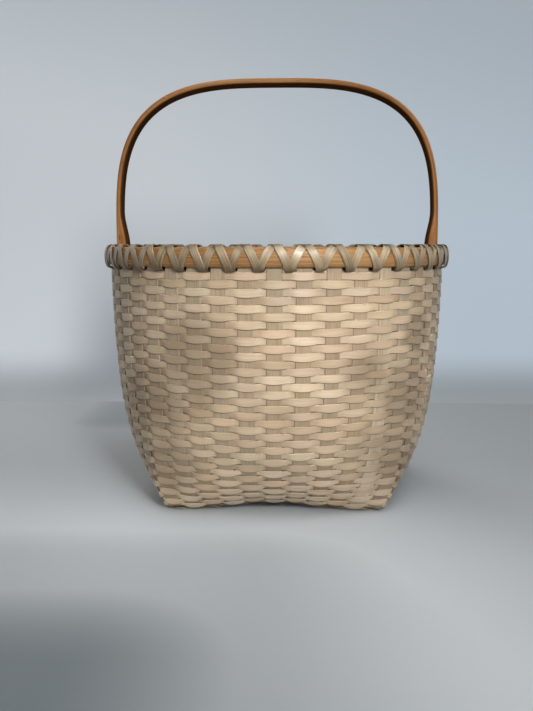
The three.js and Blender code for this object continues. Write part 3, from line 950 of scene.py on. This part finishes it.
@dataclass
class Weavers:
    """The two long weavers that go round and round, each made of eleven splints.

    Each splint swells downwards where it passes over a stake, and a painted shadow line darkens its lower
    edge there.
    """

    wall: Wall
    material: bpy.types.Material
    width: float = 7.3 * MM
    thickness: float = 0.75 * MM
    edge: float = 0.5 * MM
    gap_share: float = 0.96
    crown: float = 0.08 * MM
    lean: float = 0.13
    wander: float = 0.045
    width_wander: float = 0.025
    widest_share: float = 1.24
    end_share: float = 0.12
    tone: float = 0.5
    tone_spread: float = 0.13
    # Painted shadow line along each float's lower edge
    edge_shade: float = 1.7
    # Painted shade where the splint dives behind a stake
    dive_shade: float = 0.08
    # Painted light: the splints are lighter towards the base
    painted_low_light: float = 0.22
    low_height: float = 70 * MM
    bow: float = 0.93 * MM
    bow_by_pitch: float = 0.046
    even_pitch: float = 22 * MM
    squareness: float = 0.5
    splints: int = 11
    per_stake: int = 12
    end_gap: float = 0.02
    starts: tuple[tuple[str, int, int], ...] = (("a", 23, 0), ("b", 32, 1))

    def rings(self, u: np.ndarray, lag: int, strip: float) -> tuple[np.ndarray, np.ndarray]:
        """Sections of one splint.

        Args:
            u: Places along it, in stakes.
            lag: Rows by which this weaver follows the other.
            strip: Number that tells this splint from the others.

        Returns:
            Sections by eight corners by 3, and how far each section lies over its stake, from 0 to 1.
        """
        wall, rows = self.wall, self.wall.size.rows
        base = wall.climb(u) - 1 - lag
        low, high = np.clip(base, 0, rows), np.clip(base + 1, 0, rows)
        share = high - low
        middle = (low + high) / 2 + self.wander * ripple(u * 0.9, strip * 40) * share
        point, up, out = wall.at(u, middle)
        row = wall.row_at(u, middle)
        pitch = wall.pitch_at(u, middle)
        swing = np.cos(np.pi * (u + lag))
        reach = self.bow + self.bow_by_pitch * np.maximum(self.even_pitch - pitch, 0)
        e = self.squareness
        offset = reach * swing * np.sqrt((1 + e * e) / (swing * swing + e * e))
        over = np.abs(swing) ** 1.5
        broad = self.width * (1 + self.width_wander * ripple(u * 0.7, strip * 70))
        broad = np.minimum(broad, row * self.widest_share)
        narrow = row * self.gap_share
        width = mix(narrow, broad, over) * np.maximum(share, self.end_share)
        crown = self.crown * swing
        sag = (broad - narrow) / 2 * over * np.minimum(share, np.clip(base + 0.5, 0, 1))
        centre = point + out * (offset - crown * 0.5)[:, None] - up * sag[:, None]
        tipped = unit(up - out * (self.lean * swing)[:, None])
        return ribbon(centre, tipped, out, width, self.thickness, crown, self.edge), over

    def build(self) -> None:
        """Makes all the splints of both weavers."""
        run = self.wall.count * self.wall.size.rows // 2 // self.splints
        for letter, start, lag in self.starts:
            for s in range(self.splints):
                strip = strip_number(s, 0.31 if letter == "b" else 0.0)
                first = start + s * run
                u = np.linspace(first + self.end_gap, first + run - self.end_gap, run * self.per_stake + 1)
                rings, over = self.rings(u, lag, strip)
                middle = rings.mean(axis=1)
                tone = self.tone + self.tone_spread * math.sin(strip * 47)
                # Painted shade where the splint dives behind a stake
                tone = tone + self.tone_spread * ripple(u * 0.16, strip * 30) - self.dive_shade * (1 - over)
                # Painted light: the splints are lighter towards the base
                tone = tone + self.painted_low_light * smooth(1 - middle[:, 2] / self.low_height)
                # Painted shadow line along the lower edge of each float
                tone = tone[:, None] - self.edge_shade * over[:, None] * LOWER_EDGE
                node = f"weaver_{letter}_{s + 1}"
                piece = sweep(f"splint_{node}", rings, run_length(middle), tone, strip, SPLINT_CREASE)
                keep(piece, Slot.WEAVER, self.material, node)


@dataclass
class Stakes:
    """The splints that cross under the basket and stand up as its stakes."""

    wall: Wall
    material: bpy.types.Material
    width: float = 12.7 * MM
    thickness: float = 0.9 * MM
    edge: float = 0.35 * MM
    wave: float = 0.5 * MM
    sway: float = 0.16 * MM
    wall_step: float = 0.28
    base_step: float = 1.7 * MM
    tone: float = 0.48
    tone_spread: float = 0.2
    tone_wander: float = 0.1
    pale_stake: tuple[str, int] = ("y", 10)
    pale_tone: float = 1.25
    # Painted shade: the stakes are darker towards the base
    low_shade: float = 0.5
    low_height: float = 70 * MM
    foot_row: float = -0.12
    bend_rounds: int = 3
    bend_reach: int = 5
    side_wander: float = 0.3 * MM
    width_wander: float = 0.012

    def wall_part(self, n: int) -> tuple[np.ndarray, np.ndarray]:
        """One end of a splint, from the base edge up to the rim.

        Args:
            n: Stake that it makes.

        Returns:
            Points, and width directions towards the next stake.
        """
        wall = self.wall
        top = np.interp(wall.size.stake_top, wall.centre[n, :, 2], wall.rows)
        r = np.linspace(self.foot_row, top, int((top - self.foot_row) / self.wall_step))
        stakes = np.full(len(r), n)
        point, up, turn = (wall.pick(table, stakes, r) for table in (wall.centre, wall.up, wall.turn))
        along = square_to(up, np.stack([np.cos(turn), np.sin(turn), np.zeros(len(r))], axis=1))
        out = np.cross(along, up)
        phase = r - float(wall.climb(np.array(float(n)))) + 1
        side = 1 if n % 2 == 0 else -1
        held = smooth(r / 2) * smooth((wall.size.rows - r) / 2)
        lean = -side * self.sway * np.cos(np.pi * (phase - 0.5)) * held
        return point + out * lean[:, None], along

    def base_part(self, direction: str, j: int) -> tuple[np.ndarray, np.ndarray]:
        """The stretch under the basket, over and under the splints that cross it.

        Args:
            direction: x or y, the way that the splint runs.
            j: Its place among its neighbours, from the middle.

        Returns:
            Points and width directions.
        """
        wall = self.wall
        reach = wall.edge_line + 0.2 * self.width
        run = np.linspace(-reach, reach, int(2 * reach / self.base_step))
        across_x = direction == "x"
        side = np.full(len(run), j * wall.size.pitch)
        x, y = (run, side) if across_x else (side, run)
        i = run / wall.size.pitch
        swing = np.cos(np.pi * (i + j)) * (-1 if across_x else 1)
        fade = smooth((wall.edge_line + 0.5 * self.width - np.abs(run)) / (0.3 * self.width))
        z = wall.base_height(x, y) + self.wave * swing * fade
        little = 0.5 * MM
        dx, dy = (0.0, little) if across_x else (little, 0.0)
        tilt = (wall.base_height(x + dx, y + dy) - wall.base_height(x - dx, y - dy)) / (2 * little)
        level = np.full(len(run), 1.0)
        along = unit(np.stack([level * (not across_x), level * across_x, tilt], axis=1))
        return np.stack([x, y, z], axis=1), along if across_x else -along

    def path(self, direction: str, j: int) -> tuple[np.ndarray, np.ndarray, np.ndarray]:
        """Whole line of one splint, from rim to rim.

        Args:
            direction: x or y, the way that it crosses the base.
            j: Its place among its neighbours, from the middle.

        Returns:
            Points, width directions and outward directions.
        """
        per, half = self.wall.size.stakes_per_side, self.wall.half_side
        ends = (3 * per + half - j, per + half + j), (half + j, 2 * per + half - j)
        start, end = ends[0] if direction == "x" else ends[1]
        p0, a0 = self.wall_part(start)
        p1, a1 = self.wall_part(end)
        pb, ab = self.base_part(direction, j)
        points = np.concatenate([p0[::-1], pb, p1])
        along = np.concatenate([-a0[::-1], ab, a1])
        bends = (len(p0), len(p0) + len(pb))
        for _ in range(self.bend_rounds):
            for middle in bends:
                zone = slice(middle - self.bend_reach, middle + self.bend_reach)
                wide = points[zone.start - 1 : zone.stop + 1]
                points[zone] = 0.25 * wide[:-2] + 0.5 * wide[1:-1] + 0.25 * wide[2:]
        ahead = unit(np.gradient(points, axis=0))
        along = square_to(ahead, along)
        return points, along, unit(np.cross(along, ahead))

    def build(self) -> None:
        """Makes the eleven splints of each direction."""
        half = self.wall.half_side
        for direction in "xy":
            for j in range(-half, half + 1):
                number = j + half + 1
                strip = strip_number(number, 0.43 if direction == "y" else 0.0)
                points, along, out = self.path(direction, j)
                lengths = run_length(points)
                shift = self.side_wander * ripple(lengths * 22, strip * 60)
                points = points + along * shift[:, None]
                width = self.width * (1 + self.width_wander * ripple(lengths * 31, strip * 90))
                is_pale = (direction, number) == self.pale_stake
                tone = self.pale_tone if is_pale else self.tone + self.tone_spread * math.sin(strip * 31)
                tone = tone + self.tone_wander * ripple(lengths * 9, strip * 50)
                # Painted shade: the stakes are darker towards the base
                tone = tone - self.low_shade * smooth(1 - points[:, 2] / self.low_height)
                rings = ribbon(points, along, out, width, self.thickness, 0.0, self.edge)
                node = f"stake_{direction}_{number}"
                piece = sweep(f"splint_{node}", rings, lengths, tone[:, None], strip, SPLINT_CREASE)
                keep(piece, Slot.STAKE, self.material, node)


POST_WIDTH = 17.6 * MM   # Width of the handle where it stands on the rim


@dataclass(frozen=True)
class RimSizes:
    """Sizes of the two hoops, the lashing and the room they leave for the handle."""

    hoop_height: float = 16 * MM
    hoop_thickness: float = 4.6 * MM
    seat: float = 0.75 * MM
    handle_room: float = 4.9 * MM
    bow_start: float = 2.8
    bow_length: float = 2.0
    scarf: float = 0.42

    def bow(self, angle: np.ndarray, stake_angle: float) -> np.ndarray:
        """How far the inner hoop bows in beside the handle.

        Args:
            angle: Angle round the rim from the front.
            stake_angle: Angle between two stakes.

        Returns:
            Distance inwards at each angle.
        """
        to_handle = np.arccos(np.clip(np.abs(np.sin(angle)), 0, 1))
        return self.handle_room * smooth((self.bow_start - to_handle / stake_angle) / self.bow_length)


@dataclass
class Rim:
    """Two half-round hoops that hold the stakes' tops between them."""

    wall: Wall
    size: RimSizes
    material: bpy.types.Material
    sections: int = 420
    thin_end: float = 0.04
    lapped: float = 0.96
    crease: float = 50.0
    sides: int = 14
    shoulder: float = 0.22
    depth_power: float = 0.72
    height_power: float = 0.86
    back_inset: float = 0.03
    wander: float = 0.35 * MM
    top_gap: float = 0.1 * MM
    tone: float = 0.5
    tone_spread: float = 0.16

    def half_round(self) -> np.ndarray:
        """Half-round section of a hoop.

        Returns:
            For each corner its depth from the flat back and its height, each from 0 to 1.
        """
        angle = np.linspace(-np.pi / 2, np.pi / 2, self.sides)
        dome = self.shoulder + (1 - self.shoulder) * np.abs(np.cos(angle)) ** self.depth_power
        height = 0.5 + 0.5 * np.sign(np.sin(angle)) * np.abs(np.sin(angle)) ** self.height_power
        front = np.stack([dome, height], axis=1)
        back = np.array([[0.0, 1 - self.back_inset], [0.0, self.back_inset]])
        return np.concatenate([front, back])

    def hoop(self, name: str, side: int, joint_angle: float, strip: float) -> None:
        """Makes one hoop, its ends thinned and lapped.

        Args:
            name: Solid that it stands for.
            side: 1 for the outer hoop, -1 for the inner.
            joint_angle: Angle round the rim at which its ends lap.
            strip: Number that tells its grain from the other's.
        """
        size = self.size
        angle = np.linspace(joint_angle, joint_angle + 2 * np.pi + size.scarf, self.sections)
        start = np.clip((angle - joint_angle) / size.scarf, 0, 1)
        finish = np.clip((angle - joint_angle - 2 * np.pi) / size.scarf, 0, 1)
        on_lap = finish > 0
        base_low = self.lapped * finish + self.thin_end / 2 * on_lap
        depth = (start * self.lapped + self.thin_end) * (finish <= 0) + (1 - base_low) * on_lap
        bow = 0 * angle if side > 0 else size.bow(angle, 2 * np.pi / self.wall.count)
        wander = self.wander * ripple(angle * 2, strip * 9)
        rings = []
        for d, h in self.half_round():
            offset = side * (size.seat + bow + (base_low + d * depth) * size.hoop_thickness)
            r = self.wall.size.radius + offset
            z = self.wall.size.rim_top - size.hoop_height * (1 - h) + np.minimum(wander, 0) - self.top_gap
            rings.append(round_rim(angle, r, z))
        tone = self.tone + self.tone_spread * ripple(angle * 1.5, strip * 20)
        lengths = (angle - joint_angle) * self.wall.size.radius
        piece = sweep(f"hoop_{name}", np.stack(rings, axis=1), lengths, tone[:, None], strip, self.crease)
        keep(piece, Slot.HOOP, self.material, name)

    def build(self) -> None:
        """Makes both hoops."""
        self.hoop("rim_outer", 1, math.radians(197), 0.21)
        self.hoop("rim_inner", -1, math.radians(146), 0.67)


@dataclass
class Lashing:
    """Two thin strips that bind the hoops to the wall, one each way round, crossing at every stake."""

    wall: Wall
    rim: RimSizes
    material: bpy.types.Material
    width: float = 6.9 * MM
    width_beside_handle: float = 4.9 * MM
    thickness: float = 0.65 * MM
    edge: float = 0.5 * MM
    layer: float = 0.7 * MM
    clearance: float = 0.08 * MM
    crown: float = 0.06 * MM
    drop: float = 2.2 * MM
    crest: float = 0.9 * MM
    post_width: float = POST_WIDTH
    post_clearance: float = 0.35 * MM
    per_wrap: int = 44
    squareness: float = 2.8
    width_wander: float = 0.05
    tone: float = 0.35
    tone_spread: float = 0.2
    # Painted shade where the strip faces up or down at its turns, and a painted highlight on the upper part
    # of each arm
    flat_shade: float = 0.9
    painted_upper_highlight: float = 0.4
    lean: float = 0.35
    cross: float = 0.04

    def gap_is_beside_handle(self, gap: int) -> bool:
        """True for the two gaps at each handle end."""
        angle = 2 * np.pi / self.wall.count
        return abs(math.sin((gap + 0.5) * angle)) > math.cos(angle * 0.75)

    def shift(self, gap: int) -> float:
        """Moves the crossings beside the handle clear of its post.

        Args:
            gap: Gap between two stakes, counted round the rim.

        Returns:
            How far the gap's crossing moves, in stakes.
        """
        if not self.gap_is_beside_handle(gap):
            return 0.0
        step = 2 * np.pi / self.wall.count
        narrow = step * (1 - 2 * self.wall.size.front_spread)
        inner = self.wall.size.radius - self.rim.handle_room - self.rim.hoop_thickness
        reach = self.post_width / 2 + self.post_clearance + self.width_beside_handle / 2
        beside = reach / (inner * narrow) - 0.5
        return -beside * math.copysign(1, math.sin((2 * gap + 1) * step))

    def places(self, way: int, turn: np.ndarray) -> tuple[np.ndarray, np.ndarray]:
        """Place round the rim and width of one strip, section by section.

        Args:
            way: 1 or -1, the way that it travels.
            turn: Angle of each section round the rim's own section, for one wrap.

        Returns:
            Place in stakes, and width.
        """
        power = 2 / self.squareness
        c, d = np.cos(turn), np.sin(turn)
        level = np.sign(d) * np.abs(d) ** power
        depth = np.sign(c) * np.abs(c) ** power
        low, first_half = turn < 0, turn < np.pi / 2
        front = np.where(first_half, (1 + level) / 2, 1)
        inner = np.where(first_half, 0, (1 - level) / 2)
        top = np.where(low, 0, np.where(turn > np.pi, 1, (1 - depth) / 2))
        under = np.where(low, depth / 2, np.where(turn > np.pi, 1 + depth / 2, 0.5))
        places, widths = [], []
        for wrap in range(self.wall.count):
            gap = wrap * way
            following = gap + way
            start = gap + 0.5 + self.shift(gap)
            end = following + 0.5 + self.shift(following)
            beside = (self.gap_is_beside_handle(gap), self.gap_is_beside_handle(following))
            lean = 0.0 if all(beside) else self.lean
            rise_share = 1 - self.cross if all(beside) else lean
            over_share = 0.0 if all(beside) else 1 - 2 * lean - self.cross
            share = rise_share * front + lean * inner + over_share * top + self.cross * under
            places.append(mix(start, end, share))
            widths.append(np.full(len(turn), self.width_beside_handle if any(beside) else self.width))
        kernel = np.hanning(7) / np.hanning(7).sum()
        u = np.convolve(np.pad(np.concatenate(places), 3, mode="edge"), kernel, mode="valid")
        width = np.convolve(np.pad(np.concatenate(widths), 10, mode="edge"), np.ones(21) / 21, mode="valid")
        return u, width

    def path(self, heading: Heading) -> tuple[np.ndarray, ...]:
        """Line of one strip all the way round.

        Args:
            heading: The way that it travels.

        Returns:
            Angle round the rim, offset from the wall, height, width, and the section's outward direction as
            offset and height parts.
        """
        rise = self.clearance + self.thickness / 2 + (self.layer if heading is Heading.BACKWARD else 0.0)
        turn = np.linspace(-np.pi / 2, 3 * np.pi / 2, self.per_wrap, endpoint=False)
        u, width = self.places(heading.value, turn)
        turn = np.tile(turn, self.wall.count)
        stake_angle = 2 * np.pi / self.wall.count
        angle = self.wall.spread(u * stake_angle)
        half_height = self.rim.hoop_height / 2 + rise
        half_depth = self.rim.seat + self.rim.hoop_thickness + rise
        power = 2 / self.squareness
        c, s = np.cos(turn), np.sin(turn)
        offset = half_depth * np.sign(c) * np.abs(c) ** power
        bow = self.rim.bow(angle, stake_angle)
        offset = offset - np.where(offset < 0, bow * smooth(-offset / half_depth * 1.3), 0)
        height = self.wall.size.rim_top - self.rim.hoop_height / 2
        height = height + half_height * np.sign(s) * np.abs(s) ** power
        height = height - self.drop * smooth(-s * 1.6 - 0.5) + self.crest * smooth((s - 0.55) / 0.45)
        normal = np.stack([np.sign(c) * np.abs(c) ** (2 - power) / half_depth,
                           np.sign(s) * np.abs(s) ** (2 - power) / half_height], axis=1)
        return angle, offset, height, width, normal

    def build(self) -> None:
        """Makes both strips."""
        for number, heading in enumerate((Heading.FORWARD, Heading.BACKWARD), start=1):
            angle, offset, height, width, normal = self.path(heading)
            points = round_rim(angle, self.wall.size.radius + offset, height)
            radial = round_rim(angle, 1.0, 0.0)
            ahead = unit(np.gradient(points, axis=0))
            out = square_to(ahead, unit(radial * normal[:, :1] + UP * normal[:, 1:]))
            across = np.cross(out, ahead)
            lengths = run_length(points)
            width = width * (1 + self.width_wander * ripple(lengths * 14, number * 3.3))
            share = (height - self.wall.size.rim_top) / self.rim.hoop_height + 1
            tone = self.tone + self.tone_spread * ripple(lengths * 7, number * 5.1)
            # Painted highlight on the upper part of each arm
            tone = tone + self.painted_upper_highlight * smooth((share - 0.25) / 0.5)
            # Painted shade where the strip faces up or down
            tone = tone - self.flat_shade * unit(normal)[:, 1] ** 2
            rings = ribbon(points, across, out, width, self.thickness, self.crown, self.edge)
            name = f"lashing_strip_{number}"
            piece = sweep(name, rings, lengths, tone[:, None], number * 0.37, SPLINT_CREASE)
            keep(piece, Slot.LASHING, self.material, f"lashing_{number}")


@dataclass
class Handle:
    """The bent handle: a flat bow with a shoulder on each hoop, a notch behind it and a thin tail below."""

    wall: Wall
    rim: RimSizes
    material: bpy.types.Material
    width: float = POST_WIDTH
    grip_width: float = 23 * MM
    thickness: float = 5.5 * MM
    spring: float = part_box("rim_outer")[1].z + 12 * MM
    squareness: float = 3.15
    seat: float = 3.1 * MM
    foot_gap: float = 0.35 * MM
    shoulder: float = 10.5 * MM
    shoulder_rise: float = 34 * MM
    notch: float = 2.2 * MM
    notch_below_hoop: float = 2.6 * MM
    notch_slope: float = 1.2 * MM
    tail_length: float = 56 * MM
    tail_thickness: float = 4 * MM
    tail_tip: float = 1.6 * MM
    thinning: float = 20 * MM
    narrowing: float = 16 * MM
    outer_edge: float = 2.1 * MM
    inner_edge: float = 1.7 * MM
    tone: float = 0.48
    tone_spread: float = 0.14
    # Painted shade on the inner face of the handle
    under_shade: float = 1.15
    crease: float = 38.0
    arch_samples: int = 4000
    arch_sections: int = 110
    low_sections: int = 60
    post_sections: int = 26
    turn_rounds: int = 4
    top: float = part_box("handle")[1].z

    def half_line(self) -> tuple[np.ndarray, np.ndarray, np.ndarray]:
        """Outer face of the handle from one tail to the top of the bow.

        Returns:
            Points as x and z, thickness and width at each.
        """
        s = self.wall.size
        outer = s.radius - self.seat
        hoop_bottom = s.rim_top - self.rim.hoop_height
        tail = hoop_bottom - self.tail_length
        line = self.wall.centre[s.stakes_per_side + self.wall.half_side]
        z_low = np.linspace(tail, s.rim_top, self.low_sections)
        x_low = np.minimum(outer, np.interp(z_low, line[:, 2], line[:, 0]) - self.seat)
        z_post = np.linspace(s.rim_top, self.spring, self.post_sections)[1:]
        x_post = np.full(len(z_post), outer)
        a = np.linspace(0, np.pi / 2, self.arch_samples)
        arch_x = outer * np.cos(a).clip(0, 1) ** (2 / self.squareness)
        arch_z = self.spring + (self.top - self.spring) * np.sin(a) ** (2 / self.squareness)
        arch_length = run_length(np.stack([arch_x, arch_z], axis=1))
        even = np.linspace(0, arch_length[-1], self.arch_sections)[1:]
        x = np.concatenate([x_low, x_post, np.interp(even, arch_length, arch_x)])
        z = np.concatenate([z_low, z_post, np.interp(even, arch_length, arch_z)])
        along = np.concatenate([np.zeros(len(z_low) + len(z_post)), even / arch_length[-1]])
        width = mix(self.width, self.grip_width, smooth(along * 1.15) * (z > self.spring))
        shoulder_foot = s.rim_top + self.foot_gap
        flare = smooth(1 - (z - shoulder_foot) / self.shoulder_rise)
        above = mix(self.thickness, self.shoulder, flare)
        low = z < shoulder_foot
        in_notch = smooth((z - hoop_bottom + self.notch_below_hoop) / self.notch_slope)
        notched = mix(self.tail_thickness, self.notch, in_notch)
        tapered = mix(self.tail_tip, self.tail_thickness, smooth((z - tail) / self.thinning))
        thickness = np.where(low, np.minimum(notched, tapered), above)
        narrow = mix(0.5, 1.0, np.sqrt(np.clip((z - tail) / self.narrowing, 0, 1)))
        width = width * np.where(low, narrow, 1.0)
        return np.stack([x, z], axis=1), thickness, width

    def section(self, thick: np.ndarray, wide: np.ndarray) -> list[tuple[np.ndarray, np.ndarray]]:
        """Corners of the handle's sections, all with the four edges rounded.

        Args:
            thick: Thickness at each section.
            wide: Width at each section.

        Returns:
            For each corner in order round the section, its place across and its depth below the outer face.
        """
        outer = np.minimum(self.outer_edge, thick * 0.42)
        inner = np.minimum(self.inner_edge, thick * 0.3)
        arc = np.radians([0, 30, 60, 90])
        edges = []
        for side in (1, -1):
            for radius, far in ((outer, False), (inner, True)):
                corners = []
                for a in arc if (side > 0) != far else arc[::-1]:
                    depth = radius * (1 - np.cos(a))
                    y = side * (wide / 2 - radius * (1 - np.sin(a)))
                    corners.append((y, thick - depth if far else depth))
                edges.append(corners)
        return edges[0] + edges[1] + edges[3] + edges[2]

    def build(self) -> None:
        """Makes the handle as one piece."""
        line, thick, wide = (np.concatenate([half, half[-2::-1]]) for half in self.half_line())
        line[len(line) // 2 + 1 :, 0] *= -1
        ahead = unit(np.gradient(line, axis=0))
        flat_out = np.stack([ahead[:, 1], -ahead[:, 0]], axis=1)
        for _ in range(self.turn_rounds):
            flat_out[1:-1] = unit(flat_out[:-2] + 2 * flat_out[1:-1] + flat_out[2:])
        level = np.zeros(len(line))
        out = np.stack([flat_out[:, 0], level, flat_out[:, 1]], axis=1)
        points = np.stack([line[:, 0], level, line[:, 1]], axis=1)
        across = np.array([0.0, 1.0, 0.0])
        order = self.section(thick, wide)
        rings = [points + across * y[:, None] - out * depth[:, None] for y, depth in order]
        # Painted shade on the inner face, which faces down under the bow
        under = np.stack([smooth(depth / thick * 4 - 3) for _, depth in order], axis=1)
        lengths = run_length(points)
        tone = self.tone + self.tone_spread * ripple(lengths * 12, 2.0)[:, None] - self.under_shade * under
        piece = sweep("bent_handle", np.stack(rings, axis=1), lengths, tone, 0.83, self.crease)
        keep(piece, Slot.HOOP, self.material, "handle")


@dataclass(frozen=True)
class Lamp:
    """One soft lamp: where it stands, what it looks at, its size and its power."""

    name: str
    place: tuple[float, float, float]
    aim: tuple[float, float, float]
    across: float
    power: float
    tint: str
    spread: float = 180.0

    def build(self) -> None:
        """Hangs the lamp."""
        light = bpy.data.lights.new(self.name, "AREA")
        light.shape = "DISK"
        light.size = self.across
        light.energy = self.power
        light.spread = math.radians(self.spread)
        light.color = colour(self.tint)[:3]
        lamp = bpy.data.objects.new(self.name, light)
        bpy.context.scene.collection.objects.link(lamp)
        lamp.location = self.place
        lamp.rotation_mode = "QUATERNION"
        lamp.rotation_quaternion = (Vector(self.aim) - Vector(self.place)).to_track_quat("-Z", "Y")


@dataclass(frozen=True)
class Studio:
    """Floor, backdrop, lamps, and the camera at the photograph's angle."""

    floor_half: float = 3.0
    back_edge: float = 0.5
    cove: float = 0.06
    height: float = 1.6
    camera_distance: float = 0.85
    camera_height: float = 0.2326
    camera_turn: float = math.radians(1.8)
    axis_shift: float = 9.5 * MM
    focal_pixels: float = 880.0
    image_height: float = 711.0
    horizon_row: float = 245.0
    sensor: float = 24.0
    room: str = "eeebe5"
    room_strength: float = 0.235
    seen_room: str = "b9c1c8"
    lamps: tuple[Lamp, ...] = (
        Lamp("key", (0.25, -0.93, 0.5), (-0.05, 0, 0.085), 0.28, 0.335, "fffcf7", 32.0),
        Lamp("top", (0.3, -0.6, 1.4), (0, -0.1, 0), 1.0, 8.0, "faf9f6"),
        Lamp("rear", (-0.8, 1.3, 1.3), (0, 0, 0.15), 1.2, 12.0, "fff8f0"),
    )

    def floor(self) -> None:
        """Makes the floor from one plane."""
        bpy.ops.object.select_all(action="DESELECT")
        bpy.ops.mesh.primitive_plane_add(size=2 * self.floor_half)
        floor = bpy.context.object
        floor.name = "studio_floor"
        floor.data.materials.append(FloorFinish().build())

    def backdrop(self) -> None:
        """Makes the sheet behind the basket, which curves up off the floor and throws no shade on it."""
        bpy.ops.object.select_all(action="DESELECT")
        bpy.ops.mesh.primitive_plane_add(size=2)
        sheet = bpy.context.object
        sheet.name = "studio_backdrop"
        near, far, lift = self.back_edge - self.cove, self.back_edge, 0.2 * MM
        for vertex in sheet.data.vertices:
            at_back = vertex.co.y > 0
            vertex.co = (vertex.co.x * self.floor_half, far if at_back else near, lift)
            vertex.select = at_back
        for edge in sheet.data.edges:
            edge.select = all(sheet.data.vertices[v].select for v in edge.vertices)
        for face in sheet.data.polygons:
            face.select = False
        bpy.ops.object.mode_set(mode="EDIT")
        bpy.ops.mesh.select_mode(type="EDGE")
        bpy.ops.mesh.extrude_region_move(TRANSFORM_OT_translate={"value": (0, 0, self.height)})
        bpy.ops.object.mode_set(mode="OBJECT")
        cove = sheet.modifiers.new("cove", "BEVEL")
        cove.width, cove.segments, cove.limit_method = self.cove * 0.98, 12, "ANGLE"
        bpy.ops.object.modifier_apply(modifier=cove.name)
        bpy.ops.object.shade_smooth()
        sheet.visible_shadow = sheet.visible_diffuse = False
        sheet.data.materials.append(BackdropFinish().build())

    def world(self) -> None:
        """Sets a soft even light all round, which the camera sees as a pale blue-grey."""
        world = bpy.data.worlds.new("soft_room")
        bpy.context.scene.world = world
        paint = Paint(world)
        light = {"Color": colour(self.room), "Strength": self.room_strength}
        seen = {"Color": colour(self.seen_room), "Strength": 1.0}
        back = paint.node("ShaderNodeBackground", {}, light).outputs["Background"]
        front = paint.node("ShaderNodeBackground", {}, seen).outputs["Background"]
        to_camera = paint.amount(paint.node("ShaderNodeLightPath", {}, {}), "Is Camera Ray")
        both = paint.node("ShaderNodeMixShader", {}, {"Fac": to_camera, "Shader": back, "Shader_001": front})
        paint.node("ShaderNodeOutputWorld", {}, {"Surface": both.outputs["Shader"]})

    def camera(self) -> None:
        """Stands the camera where the photograph was taken."""
        data = bpy.data.cameras.new("camera")
        data.sensor_width = self.sensor
        data.lens = self.focal_pixels / self.image_height * self.sensor
        data.clip_start, data.clip_end = 0.02, 20.0
        camera = bpy.data.objects.new("camera", data)
        bpy.context.scene.collection.objects.link(camera)
        pitch = math.atan((self.image_height / 2 - self.horizon_row) / self.focal_pixels)
        turn = self.camera_turn
        ahead = Vector((-math.sin(turn), math.cos(turn), 0))
        right = Vector((math.cos(turn), math.sin(turn), 0))
        place = -ahead * self.camera_distance - right * self.axis_shift + Vector((0, 0, self.camera_height))
        look = ahead * math.cos(pitch) - Vector((0, 0, math.sin(pitch)))
        camera.location = place
        camera.rotation_mode = "QUATERNION"
        camera.rotation_quaternion = look.to_track_quat("-Z", "Y")
        bpy.context.scene.camera = camera

    def build(self) -> None:
        """Sets up floor, light and camera."""
        self.floor()
        self.backdrop()
        self.world()
        for lamp in self.lamps:
            lamp.build()
        self.camera()
        bpy.context.scene.view_settings.view_transform = "Standard"


def main() -> None:
    """Builds the basket, its finishes and the studio, in order."""
    logging.basicConfig(level=logging.INFO, format="%(name)s: %(message)s")
    wall = Wall(WallSizes())
    rim = RimSizes()
    Stakes(wall, STAKE_WOOD.build()).build()
    Weavers(wall, WEAVER_WOOD.build()).build()
    Rim(wall, rim, HOOP_WOOD.build()).build()
    Lashing(wall, rim, LASHING_WOOD.build()).build()
    Handle(wall, rim, HANDLE_WOOD.build()).build()
    Studio().build()


if __name__ == "__main__":
    main()
